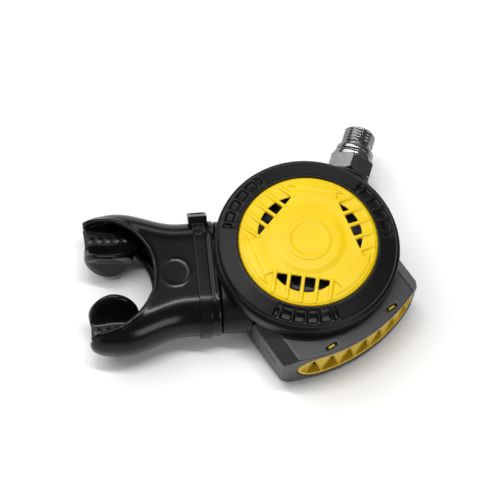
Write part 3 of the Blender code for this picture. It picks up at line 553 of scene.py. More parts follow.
@dataclass(frozen=True)
class Moulding(Finish):
    """An injection-moulded or cast polymer: mottled colour, eroded grain and a handled gloss."""

    name: str
    colour: Colour
    shade: Colour
    roughness: float
    uneven: float = 0.06
    grain: float = 2600.0
    grain_depth: float = 0.00003
    grain_strength: float = 0.35
    ripple_depth: float = 0.00005
    coat: float = 0.0
    specular: float = 0.5
    sheen: float = 0.0

    def dress(self, tree: bpy.types.NodeTree) -> None:
        """Builds the colour, gloss and relief."""
        shader = shader_of(tree, Coat_Weight=self.coat, Coat_Roughness=0.25,
                           Specular_IOR_Level=self.specular, Sheen_Weight=self.sheen,
                           Sheen_Roughness=0.5)
        cloud = placed_noise(tree, 70.0, 4.0)
        specks = placed_noise(tree, 900.0, 3.0)
        grain = placed_noise(tree, self.grain, 2.0)
        ripple = placed_noise(tree, 45.0, 1.0)
        tint = ramp(tree, cloud.outputs["Fac"], 0.32, 0.68, self.shade, self.colour)
        tree.links.new(tint, shader.inputs["Base Color"])
        gloss = span(tree, specks.outputs["Fac"], self.roughness - self.uneven,
                     self.roughness + self.uneven)
        tree.links.new(gloss, shader.inputs["Roughness"])
        soft = bump(tree, ripple.outputs["Fac"], 0.3, self.ripple_depth)
        fine = bump(tree, grain.outputs["Fac"], self.grain_strength, self.grain_depth, soft)
        tree.links.new(fine.outputs["Normal"], shader.inputs["Normal"])


@dataclass(frozen=True)
class TurnedMetal(Finish):
    """Plated or bare metal with the fine rings that a lathe leaves across one direction."""

    name: str
    colour: Colour
    tarnish: Colour
    roughness: float
    turn: float = 0.0
    ring_depth: float = 0.000004

    def dress(self, tree: bpy.types.NodeTree) -> None:
        """Builds the plating's colour, worn gloss and lathe rings."""
        shader = shader_of(tree, Metallic=1.0, Anisotropic=0.25)
        cloud = placed_noise(tree, 140.0, 5.0)
        rings = placed_noise(tree, 1.0, 2.0, (1 / 4200.0, 1 / 60.0, 1 / 60.0), self.turn)
        tint = ramp(tree, cloud.outputs["Fac"], 0.3, 0.62, self.tarnish, self.colour)
        tree.links.new(tint, shader.inputs["Base Color"])
        gloss = span(tree, rings.outputs["Fac"], self.roughness - 0.03, self.roughness + 0.05)
        tree.links.new(gloss, shader.inputs["Roughness"])
        lathe = bump(tree, rings.outputs["Fac"], 0.2, self.ring_depth)
        tree.links.new(lathe.outputs["Normal"], shader.inputs["Normal"])


BLACK_NYLON = Moulding("black_nylon", (0.0048, 0.0048, 0.0051), (0.0032, 0.0032, 0.0034), 0.36,
                       0.04, grain_depth=0.00001, specular=0.17)
HORN_NYLON = Moulding("horn_nylon", (0.03, 0.031, 0.033), (0.022, 0.023, 0.025), 0.38, 0.04,
                      grain_depth=0.00001, specular=0.34)
YELLOW_COVER = Moulding("yellow_cover_plastic", (0.765, 0.535, 0.0042), (0.71, 0.485, 0.003), 0.4,
                        0.04, grain=1700.0, grain_depth=0.000008, grain_strength=0.25,
                        specular=0.26)
YELLOW_LOUVRE = Moulding("yellow_louvre_plastic", (0.66, 0.44, 0.022), (0.56, 0.36, 0.016), 0.46,
                         grain_depth=0.00001, specular=0.3)
BLACK_SILICONE = Moulding("black_silicone_rubber", (0.0048, 0.0048, 0.0051),
                          (0.0034, 0.0034, 0.0036), 0.21, 0.015, grain=5200.0,
                          grain_depth=0.000001, grain_strength=0.1, ripple_depth=0.00002,
                          specular=0.18)
GREY_SILICONE = Moulding("grey_silicone_rubber", (0.06, 0.06, 0.065), (0.04, 0.04, 0.045), 0.5)
STRAP_NYLON = Moulding("strap_nylon", (0.0055, 0.0055, 0.006), (0.0035, 0.0035, 0.004), 0.24,
                       0.02, grain_depth=0.000004, specular=0.16)
NITRILE = Moulding("nitrile_rubber", (0.018, 0.018, 0.018), (0.012, 0.012, 0.012), 0.55,
                   grain_strength=0.5)
ACETAL = Moulding("natural_acetal", (0.82, 0.81, 0.75), (0.76, 0.74, 0.68), 0.4, coat=0.1)


# ---------------------------------------------------------------- geometry node trees
class Tree:
    """A geometry node tree with named inputs, ending in Realize Instances and Set Material."""

    KINDS = {float: "NodeSocketFloat", int: "NodeSocketInt", tuple: "NodeSocketVector"}

    def __init__(self, name: str, **inputs: object) -> None:
        """Starts a tree.

        Args:
            name: name of the tree.
            inputs: default value of each named input, whose type sets its socket.
        """
        self.group = bpy.data.node_groups.new(name, "GeometryNodeTree")
        face = self.group.interface
        self.identifiers = {}
        for label, value in inputs.items():
            socket = face.new_socket(name=label, in_out="INPUT",
                                     socket_type=self.KINDS[type(value)])
            socket.default_value = value
            self.identifiers[label] = socket.identifier
        material = face.new_socket(name="Material", in_out="INPUT",
                                   socket_type="NodeSocketMaterial")
        self.identifiers["Material"] = material.identifier
        face.new_socket(name="Geometry", in_out="OUTPUT", socket_type="NodeSocketGeometry")
        self.source = self.group.nodes.new("NodeGroupInput")
        self.values = dict(inputs)

    def given(self, label: str) -> bpy.types.NodeSocket:
        """Returns the socket of a named input."""
        return self.source.outputs[label]

    def node(self, kind: str, wires: dict[str, object] | None = None,
             **settings: object) -> bpy.types.Node:
        """Adds a node.

        Args:
            kind: node type.
            wires: a socket to link, or a value to set, for each named input.
            settings: the node's own properties.

        Returns:
            The new node.
        """
        node = self.group.nodes.new(kind)
        for label, value in settings.items():
            setattr(node, label, value)
        for label, value in (wires or {}).items():
            target = node.inputs[int(label)] if label.isdigit() else node.inputs[label]
            if isinstance(value, bpy.types.NodeSocket):
                self.group.links.new(value, target)
            else:
                target.default_value = value
        return node

    def sum(self, operation: str, first: object, second: object = 0.0) -> bpy.types.NodeSocket:
        """Returns the result of a Math node on two values or sockets."""
        return self.node("ShaderNodeMath", {"0": first, "1": second},
                         operation=operation).outputs[0]

    def vector(self, x: object = 0.0, y: object = 0.0, z: object = 0.0) -> bpy.types.NodeSocket:
        """Returns a vector made from three values or sockets."""
        return self.node("ShaderNodeCombineXYZ", {"X": x, "Y": y, "Z": z}).outputs[0]

    def index(self) -> bpy.types.NodeSocket:
        """Returns the index field."""
        return self.node("GeometryNodeInputIndex").outputs[0]

    def bar_section(self, width: object, depth: object, fillet: float) -> bpy.types.NodeSocket:
        """Returns a rectangular section with rounded corners, for Curve to Mesh."""
        flat = self.node("GeometryNodeCurvePrimitiveQuadrilateral",
                         {"Width": width, "Height": depth})
        corner = self.node("GeometryNodeFilletCurve",
                           {"Curve": flat.outputs[0], "Radius": fillet, "Count": 3,
                            "Limit Radius": True}, mode="POLY")
        return corner.outputs[0]

    def swept(self, curve: bpy.types.NodeSocket,
              section: bpy.types.NodeSocket) -> bpy.types.NodeSocket:
        """Sweeps a section along upright curves and caps them."""
        upright = self.node("GeometryNodeSetCurveNormal", {"Curve": curve}, mode="Z_UP")
        mesh = self.node("GeometryNodeCurveToMesh",
                         {"Curve": upright.outputs[0], "Profile Curve": section,
                          "Fill Caps": True})
        return mesh.outputs[0]

    def copied_round(self, mesh: bpy.types.NodeSocket, groups: object,
                     first: object) -> bpy.types.NodeSocket:
        """Repeats a mesh about Z, evenly, from a first angle in degrees."""
        points = self.node("GeometryNodeMeshLine", {"Count": groups, "Offset": (0, 0, 0)})
        step = self.sum("DIVIDE", math.tau, groups)
        turn = self.sum("ADD", self.sum("MULTIPLY", self.index(), step),
                        self.sum("RADIANS", first))
        copies = self.node("GeometryNodeInstanceOnPoints",
                           {"Points": points.outputs[0], "Instance": mesh,
                            "Rotation": self.vector(z=turn)})
        return copies.outputs[0]

    def finish(self, geometry: bpy.types.NodeSocket) -> "Tree":
        """Ends the tree."""
        real = self.node("GeometryNodeRealizeInstances", {"Geometry": geometry})
        dressed = self.node("GeometryNodeSetMaterial", {"Geometry": real.outputs[0],
                                                        "Material": self.given("Material")})
        out = self.group.nodes.new("NodeGroupOutput")
        self.group.links.new(dressed.outputs[0], out.inputs[0])
        return self

    def grow(self, finish: Finish, **values: object) -> Solid:
        """Evaluates the tree.

        Args:
            finish: finish of the result.
            values: inputs that differ from the defaults.

        Returns:
            The plain mesh.
        """
        item = scratch_object(bpy.data.meshes.new("seed"))
        modifier = item.modifiers.new("grow", "NODES")
        modifier.node_group = self.group
        for label, value in {**self.values, **values}.items():
            modifier[self.identifiers[label]] = value
        modifier[self.identifiers["Material"]] = finish.material()
        mesh = evaluated_mesh(item)
        item.modifiers.remove(modifier)
        bpy.data.objects.remove(item, do_unlink=True)
        return Solid.of(mesh)


def coil_tree() -> Tree:
    """A wire or ridge wound about Z: springs and the hose thread."""
    tree = Tree("coil", Radius=5.0, Section=0.5, Height=5.0, Turns=4.0, Sides=12, Steps=48)
    line = tree.node("GeometryNodeCurveSpiral",
                     {"Resolution": tree.given("Steps"), "Rotations": tree.given("Turns"),
                      "Start Radius": tree.given("Radius"), "End Radius": tree.given("Radius"),
                      "Height": tree.given("Height")})
    section = tree.node("GeometryNodeCurvePrimitiveCircle",
                        {"Resolution": tree.given("Sides"), "Radius": tree.given("Section")})
    return tree.finish(tree.swept(line.outputs[0], section.outputs[0]))


def chord_bars_tree() -> Tree:
    """Parallel bars from a chord to the rim of a disc, in groups round it."""
    tree = Tree("chord_bars", Count=5, Pitch=6.1, Chord=15.6, Rim=28.8, Inner_height=41.0,
                Outer_height=40.0, Width=1.6, Depth=1.6, Groups=3, First_angle=-103.5)
    span_out = tree.sum("MULTIPLY", tree.sum("SUBTRACT", tree.given("Count"), 1.0), -0.5)
    start = tree.vector(y=tree.sum("MULTIPLY", span_out, tree.given("Pitch")))
    points = tree.node("GeometryNodeMeshLine",
                       {"Count": tree.given("Count"), "Start Location": start,
                        "Offset": tree.vector(y=tree.given("Pitch"))})
    line = tree.node("GeometryNodeCurvePrimitiveLine", {"Start": (0, 0, 0), "End": (1, 0, 0)})
    copies = tree.node("GeometryNodeInstanceOnPoints", {"Points": points.outputs[0],
                                                        "Instance": line.outputs[0]})
    real = tree.node("GeometryNodeRealizeInstances", {"Geometry": copies.outputs[0]})
    here = tree.node("ShaderNodeSeparateXYZ",
                     {"0": tree.node("GeometryNodeInputPosition").outputs[0]})
    squares = tree.sum("SUBTRACT", tree.sum("MULTIPLY", tree.given("Rim"), tree.given("Rim")),
                       tree.sum("MULTIPLY", here.outputs[1], here.outputs[1]))
    length = tree.sum("SUBTRACT", tree.sum("SQRT", squares), tree.given("Chord"))
    along = tree.sum("ADD", tree.given("Chord"),
                     tree.sum("MULTIPLY", here.outputs[0], length))
    fall = tree.sum("SUBTRACT", tree.given("Outer_height"), tree.given("Inner_height"))
    height = tree.sum("ADD", tree.given("Inner_height"),
                      tree.sum("MULTIPLY", here.outputs[0], fall))
    placed = tree.node("GeometryNodeSetPosition",
                       {"Geometry": real.outputs[0],
                        "Position": tree.vector(along, here.outputs[1], height)})
    section = tree.bar_section(tree.given("Width"), tree.given("Depth"), 0.4)
    bars = tree.swept(placed.outputs[0], section)
    return tree.finish(tree.copied_round(bars, tree.given("Groups"), tree.given("First_angle")))


def radial_bars_tree() -> Tree:
    """Fans of bars that point to the axis, in groups round it."""
    tree = Tree("radial_bars", Count=5, Pitch=9.1, Inner=31.4, Outer=37.2, Inner_height=39.6,
                Outer_height=38.0, Width=1.3, Depth=1.2, Groups=3, First_angle=-100.0)
    points = tree.node("GeometryNodeMeshLine", {"Count": tree.given("Count"),
                                                "Offset": (0, 0, 0)})
    half = tree.sum("MULTIPLY", tree.sum("SUBTRACT", tree.given("Count"), 1.0), 0.5)
    step = tree.sum("RADIANS", tree.given("Pitch"))
    turn = tree.sum("MULTIPLY", tree.sum("SUBTRACT", tree.index(), half), step)
    line = tree.node("GeometryNodeCurvePrimitiveLine",
                     {"Start": tree.vector(x=tree.given("Inner"), z=tree.given("Inner_height")),
                      "End": tree.vector(x=tree.given("Outer"), z=tree.given("Outer_height"))})
    copies = tree.node("GeometryNodeInstanceOnPoints",
                       {"Points": points.outputs[0], "Instance": line.outputs[0],
                        "Rotation": tree.vector(z=turn)})
    real = tree.node("GeometryNodeRealizeInstances", {"Geometry": copies.outputs[0]})
    section = tree.bar_section(tree.given("Width"), tree.given("Depth"), 0.35)
    bars = tree.swept(real.outputs[0], section)
    return tree.finish(tree.copied_round(bars, tree.given("Groups"), tree.given("First_angle")))


def zigzag_tree() -> Tree:
    """A ribbon that zigzags over a round face, with X up, Y across and Z out of the face."""
    tree = Tree("zigzag", Bays=7, Half_length=28.0, Half_height=8.0, Face_radius=74.0,
                Face_centre=-28.7, Width=1.3, Depth=2.4)
    count = tree.sum("ADD", tree.sum("MULTIPLY", tree.given("Bays"), 2.0), 1.0)
    points = tree.node("GeometryNodeMeshLine", {"Count": count, "Offset": (0, 1, 0)})
    pitch = tree.sum("DIVIDE", tree.given("Half_length"), tree.given("Bays"))
    across = tree.sum("SUBTRACT", tree.sum("MULTIPLY", tree.index(), pitch),
                      tree.given("Half_length"))
    swing = tree.sum("SUBTRACT", tree.sum("MULTIPLY", tree.sum("MODULO", tree.index(), 2.0),
                                          2.0), 1.0)
    up = tree.sum("MULTIPLY", swing, tree.given("Half_height"))
    squares = tree.sum("SUBTRACT", tree.sum("MULTIPLY", tree.given("Face_radius"),
                                            tree.given("Face_radius")),
                       tree.sum("MULTIPLY", across, across))
    out = tree.sum("ADD", tree.given("Face_centre"), tree.sum("SQRT", squares))
    placed = tree.node("GeometryNodeSetPosition", {"Geometry": points.outputs[0],
                                                   "Position": tree.vector(up, across, out)})
    curve = tree.node("GeometryNodeMeshToCurve", {"Mesh": placed.outputs[0]})
    section = tree.bar_section(tree.given("Width"), tree.given("Depth"), 0.3)
    return tree.finish(tree.swept(curve.outputs[0], section))


def bumps_tree() -> Tree:
    """A row of low, round bumps."""
    tree = Tree("bumps", Start=(0.0, 0.0, 0.0), End=(1.0, 0.0, 0.0), Count=5, Radius=0.9,
                Flatness=0.6)
    points = tree.node("GeometryNodeMeshLine",
                       {"Count": tree.given("Count"), "Start Location": tree.given("Start"),
                        "Offset": tree.given("End")}, mode="END_POINTS")
    ball = tree.node("GeometryNodeMeshIcoSphere", {"Radius": tree.given("Radius"),
                                                   "Subdivisions": 3})
    copies = tree.node("GeometryNodeInstanceOnPoints",
                       {"Points": points.outputs[0], "Instance": ball.outputs[0],
                        "Scale": tree.vector(1.0, 1.0, tree.given("Flatness"))})
    return tree.finish(copies.outputs[0])


# ---------------------------------------------------------------- purge cover
@dataclass
class PurgeCover:
    """The yellow cover that the diver presses, vented in three groups round its boss."""

    datum: Datum
    boss_radius: float = 16.7
    dome: float = 2.4
    vents: tuple[tuple[float, ...], ...] = ((-103.5, 17.0, 6.7, 12.8), (16.5, 19.3, 4.6, 11.5),
                                           (136.5, 18.1, 4.6, 11.8))
    slots: int = 4
    pitch: float = 6.1
    rib_width: float = 1.6
    rib_depth: float = 1.7
    recess_floor: float = 0.1
    recess_half: float = 13.6
    recess_flare: float = 19.3
    recess_margin: float = 1.35
    pads: tuple[float, ...] = (-43.5, 76.5, 196.5)
    pad_radii: Point2 = (24.2, 27.3)
    pad_rise: float = 0.28
    raised_radii: Point2 = (7.6, 9.6)
    post_radius: float = 4.0
    sink: float = 0.2
    voxel: float = 0.3

    @property
    def edge(self) -> float:
        """Height of the cover's rim, just under the ring's top."""
        return self.datum.ring_high.z - self.sink

    def shell(self) -> Solid:
        """Builds the domed skin, its hidden flange and the post under it."""
        rim = self.datum.cover_radius
        flange = rim + COVER_FLANGE
        low = self.datum.cover_low.z
        edge = self.edge
        top = edge + self.dome - 0.3
        boss = self.boss_radius
        post = self.post_radius
        outer = rounded([
            (0, top, 0), (8.0, top - 0.06, 0), (boss - 3.2, top - 0.25, 5.0),
            (boss - 0.4, top - 1.15, 1.2), (boss + 1.6, top - 1.2, 3.0),
            (22.5, edge + 1.0, 8.0), (rim - 1.9, edge + 0.42, 4.0), (rim - 0.95, edge + 0.3, 0.3),
            (rim - 0.8, edge - 0.35, 0.15), (rim - 0.45, edge - 0.35, 0.15),
            (rim - 0.3, edge + 0.02, 0.2), (rim, edge - 0.25, 0.25),
            (rim, edge - 1.3, 0), (flange, edge - 1.3, 0), (flange, edge - 2.3, 0),
            (rim - 1.8, edge - 2.3, 0), (rim - 1.8, edge - 1.2, 0), (21.0, edge - 0.75, 0),
            (boss, edge - 0.45, 0), (post, edge - 0.45, 0.5), (post, low, 0), (0, low, 0),
        ], 5)
        return Solid.turned(outer, 192)

    def vent_plan(self, angle: float, chord: float) -> list[Point2]:
        """Returns the outline of a vent group's recess, from its chord out to the rim."""
        rim = self.datum.cover_radius - self.recess_margin
        half = self.recess_half
        start = math.degrees(math.asin(-self.recess_flare / rim))
        points = [(chord, -half), *arc((0, 0), rim, start, -start, 36), (chord, half)]
        return [turned_point(angle, *point) for point in points]

    def slot_plan(self, vent: Sequence[float], middle: float) -> list[Point2]:
        """Returns the outline of one through slot between two ribs.

        Args:
            vent: direction, chord, depth and half the width of the slot's group.
            middle: place of the slot along the chord.

        Returns:
            The slot's plan points, from its chord out to a shallow arc.
        """
        angle, chord, depth, reach = vent
        radius = (reach ** 2 + depth ** 2) / (2 * depth)
        half = (self.pitch - self.rib_width) / 2
        sides = [middle - half + 2 * half * i / 6 for i in range(7)]
        far = [(chord + depth - radius + math.sqrt(radius ** 2 - side ** 2), side)
               for side in sides]
        plan = [(max(u, chord + 0.3), v) for u, v in far]
        plan += [(chord - 0.1, side) for side in reversed(sides)]
        return [turned_point(angle, *point) for point in plan]

    def pad_plan(self, angle: float) -> list[Point2]:
        """Returns the outline of a raised plain pad between two vent groups."""
        inner, outer = self.pad_radii
        half = math.degrees(math.acos(inner / outer))
        return [turned_point(angle, *point) for point in arc((0, 0), outer, -half, half, 24)]

    def raised_ring(self) -> Solid:
        """Builds the plain raised ring on the boss."""
        top = self.datum.ring_high.z - 0.5 + self.dome
        inner, outer = self.raised_radii
        profile = rounded([(inner, top - 0.9, 0), (inner, top + 0.28, 0.4),
                           (outer, top + 0.22, 0.4), (outer, top - 0.9, 0)], 4)
        return Solid.turned(profile, 96, closed=True)

    def vent_tools(self, vent: Sequence[float]) -> list[Solid]:
        """Builds the cutters of one group: its recess, then its slots."""
        edge = self.edge
        tools = [Solid.prism(self.vent_plan(*vent[:2]), edge + self.recess_floor, edge + 6)]
        for cell in range(self.slots):
            middle = (cell - (self.slots - 1) / 2) * self.pitch
            tools.append(Solid.prism(self.slot_plan(vent, middle), edge - 4, edge + 7))
        return tools

    def ribs(self) -> list[Solid]:
        """Grows the ribs that cross each vent group, one more than its slots."""
        tree = chord_bars_tree()
        return [tree.grow(YELLOW_COVER, Count=self.slots + 1, Pitch=self.pitch, Chord=chord - 0.8,
                          Rim=self.datum.cover_radius - 1.0, Inner_height=self.edge + 0.55,
                          Outer_height=self.edge - 0.25, Width=self.rib_width,
                          Depth=self.rib_depth, Groups=1, First_angle=angle)
                for angle, chord, *_ in self.vents]

    def raised_pads(self) -> list[Solid]:
        """Builds the plain pads as pieces of the same dome, a little higher."""
        edge = self.edge
        caps = [Solid.prism(self.pad_plan(angle), edge - 0.6, edge + 6) for angle in self.pads]
        lid = self.shell().moved(Matrix.Translation((0, 0, self.pad_rise)))
        lid.keep(Solid.rod(self.datum.cover_radius - 1.8, edge - 0.3, edge + 6, 128))
        return [Solid.of(lid.mesh.copy()).keep(cap) for cap in caps]

    def build(self) -> None:
        """Shapes the cover, then adds its ribs, pads and ring as one moulding."""
        cover = self.shell()
        cover.cut(*[tool for vent in self.vents for tool in self.vent_tools(vent)])
        cover.merged(*self.ribs(), self.raised_ring(), *self.raised_pads())
        cover.softened(self.voxel, 3)
        publish("purge_cover_skin", cover, "purge_cover", YELLOW_COVER,
                ("purge_cover",))


# ---------------------------------------------------------------- cover ring
@dataclass
class CoverRing:
    """The bayonet ring round the purge cover, with three fans of grip ribs."""

    datum: Datum
    clearance: float = 0.4
    shoulder: float = 1.9
    skirt_wall: float = 2.1
    lugs: int = 3
    gap_start: float = 9.0
    gap_angle: float = 102.0
    grips: tuple[float, ...] = (-98.0, 22.0, 142.0)
    grip_half_angle: float = 22.6
    grip_depth: float = 1.05
    ribs: int = 5
    rib_pitch: float = 9.3
    rib_width: float = 1.25
    rib_depth: float = 1.5
    voxel: float = 0.37

    def body(self) -> Solid:
        """Builds the ring's section: lip, cone, groove, skirt and the bayonet loop inside."""
        lip = self.datum.cover_radius + self.clearance
        top = self.datum.ring_high.z
        outer = self.datum.ring_radius
        low = self.datum.ring_low.z
        cone = outer - self.shoulder
        skirt = outer - self.skirt_wall
        loop = self.datum.case_radius + self.clearance
        profile = rounded([
            (lip, top - 1.0, 0), (lip, top, 0.25), (lip + 0.9, top, 0.6),
            (cone - 0.2, top - 2.05, 0.5), (cone, top - 2.6, 0.3), (cone + 0.25, top - 3.3, 0.3),
            (cone + 0.25, top - 3.8, 0.3), (outer - 0.65, top - 4.15, 0.4),
            (outer - 0.1, top - 4.9, 0.5), (outer, top - 6.2, 0), (outer, low + 0.6, 0.6),
            (outer - 0.6, low, 0.3), (loop, low, 0), (loop, low + 1.0, 0), (skirt, low + 1.0, 0),
            (skirt, top - 5.3, 0), (lip + 2.4, top - 5.3, 0), (lip + 2.4, top - 1.0, 0),
        ], 5)
        return Solid.turned(profile, 192, closed=True)

    def relief(self, index: int) -> Solid:
        """Builds the cutter that opens the bayonet loop between two lugs."""
        inner = self.datum.case_radius
        outer = self.datum.ring_radius - self.skirt_wall + 0.1
        start = index * 360 / self.lugs + self.gap_start
        end = start + self.gap_angle
        plan = arc((0, 0), outer, start, end, 48) + arc((0, 0), inner, end, start, 48)
        low = self.datum.ring_low.z
        return Solid.prism(plan, low - 1, low + 1.1)

    def grip(self, angle: float) -> Solid:
        """Builds the cutter for one fan's recess, whose floor follows the cone."""
        lip = self.datum.cover_radius
        half = self.grip_half_angle
        top = self.datum.ring_high.z
        section = [(lip + 1.5, top + 3), (lip + 1.5, top - 0.5), (lip + 3.5, top - 1.05),
                   (lip + 4.3, top - 1.3 - self.grip_depth),
                   (self.datum.ring_radius - 3.1, top - 1.75 - self.grip_depth),
                   (self.datum.ring_radius - 3.1, top + 3)]
        rings = []
        steps = 24
        for step in range(steps + 1):
            turn = math.radians(angle - half + 2 * half * step / steps)
            rings.append([(r * math.cos(turn), r * math.sin(turn), z) for r, z in section])
        return Solid.loft(rings)

    def build(self) -> None:
        """Shapes the ring and adds its ribs as one moulding."""
        ring = self.body()
        ring.cut(*[self.relief(i) for i in range(self.lugs)],
                 *[self.grip(angle) for angle in self.grips])
        top = self.datum.ring_high.z
        ribs = radial_bars_tree().grow(
            BLACK_NYLON, Count=self.ribs, Pitch=self.rib_pitch,
            Inner=self.datum.cover_radius + 1.1, Outer=self.datum.ring_radius - 2.9,
            Inner_height=top - 0.95, Outer_height=top - 2.65, Width=self.rib_width,
            Depth=self.rib_depth, Groups=len(self.grips), First_angle=self.grips[0])
        ring.merged(ribs).softened(self.voxel, 3)
        publish("cover_ring_skin", ring, "cover_ring", BLACK_NYLON, ("cover_ring",))


# ---------------------------------------------------------------- case
@dataclass
class Case:
    """The nylon box that carries the valve, the port and the diaphragm's seat."""

    datum: Datum
    depth: float = 31.0
    wall: float = 2.5
    floor: float = 2.2
    flange: float = 1.9
    flange_height: float = 1.4
    corner: float = 4.2
    port: Point2 = (-3.7, 14.4)
    port_size: Point2 = (51.0, 26.6)
    port_length: float = 2.5
    spigot_length: float = 13.0
    spigot_size: Point2 = (45.5, 20.0)
    bore_size: Point2 = (38.0, 14.0)
    boss_radius: float = 10.7
    boss_reach: Point2 = (29.1, 44.0)
    barrel_hole: float = 6.8
    seat_radius: float = 10.6
    seat_face: float = 36.5
    seat_depth: float = 5.5
    windows: int = 4
    window_angle: float = 72.0
    window_radii: Point2 = (3.0, 8.2)
    stem_hole: float = 1.2
    lugs: int = 3
    lug_middle: float = 25.0
    lug_half: float = 11.5
    voxel: float = 0.58

    def tube(self, size: Point2, near: float, far: float) -> Solid:
        """Builds an oval tube along -X between two distances."""
        plan = stadium(*size, self.port, 40)
        return Solid.loft([[(-reach, y, z) for y, z in plan] for reach in (near, far)])

    def body(self) -> Solid:
        """Builds the round box with its port tube, hollowed for the air chamber."""
        outer = self.datum.case_radius
        flange, under = outer + self.flange, self.depth - self.flange_height
        profile = rounded([
            (0, self.depth, 0), (flange, self.depth, 0.2), (flange, under, 0.2),
            (outer, under, 0.4), (outer, self.corner, 3.0), (outer - self.corner, 0, 2.0),
            (0, 0, 0),
        ], 6)
        case = Solid.turned(profile, 160)
        near, far = outer * 0.6, outer + self.port_length
        case.join(self.tube(self.port_size, near, far),
                  self.tube(self.spigot_size, near, far + self.spigot_length))
        inner, floor = outer - self.wall, self.floor
        chamber = rounded([(0, self.depth + 5, 0), (inner, self.depth + 5, 0),
                           (inner, floor + 2.4, 2.5), (inner - 2.4, floor, 1.5), (0, floor, 0)], 4)
        return case.cut(Solid.turned(chamber, 160))

    def window(self, index: int) -> Solid:
        """Builds the cutter for one window of the exhaust seat, in the horn's own axes."""
        start = index * 360 / self.windows + 9
        end = start + self.window_angle
        inner, outer = self.window_radii
        plan = arc((0, 0), outer, start, end, 16) + arc((0, 0), inner, end, start, 8)
        return Solid.prism(plan, self.seat_face - 3, self.seat_face + 1)

    def build(self) -> None:
        """Adds the bosses, bores the passages and softens the whole moulding."""
        valve, exhaust = self.datum.valve_place(), self.datum.exhaust_place()
        case = self.body()
        near, far = self.boss_reach
        face = self.seat_face
        boss = rounded([(0, far, 0), (self.boss_radius, far, 0.5),
                        (self.boss_radius, near, 0.2), (0, near, 0)])
        seat = [(0, face), (self.seat_radius, face), (self.seat_radius, face - self.seat_depth),
                (0, face - self.seat_depth)]
        case.join(Solid.turned(boss, 96).moved(valve), Solid.turned(seat, 96).moved(exhaust))
        outer = self.datum.case_radius
        pocket = Solid.rod(self.seat_radius - 1.9, face - 9, face - 2)
        windows = [self.window(index).moved(exhaust) for index in range(self.windows)]
        case.cut(self.tube(self.bore_size, outer * 0.6 - 3, outer + 16.5),
                 Solid.rod(self.barrel_hole, near - 5, far + 1, 96).moved(valve),
                 pocket.moved(exhaust), *windows,
                 Solid.rod(self.stem_hole, face - 3, face + 1, 32).moved(exhaust))
        case.cut(*[self.notch(index) for index in range(self.lugs)])
        case.softened(self.voxel, 2)
        publish("case_skin", case, "housing", BLACK_NYLON, ("case",))

    def notch(self, index: int) -> Solid:
        """Builds the cutter that lets one bayonet lug through the flange."""
        outer = self.datum.case_radius
        middle = index * 360 / self.lugs + self.lug_middle
        start, end = middle - self.lug_half, middle + self.lug_half
        plan = arc((0, 0), outer + 3, start, end, 16)
        plan += arc((0, 0), outer + 0.15, end, start, 16)
        return Solid.prism(plan, self.depth - 2.4, self.depth + 1)


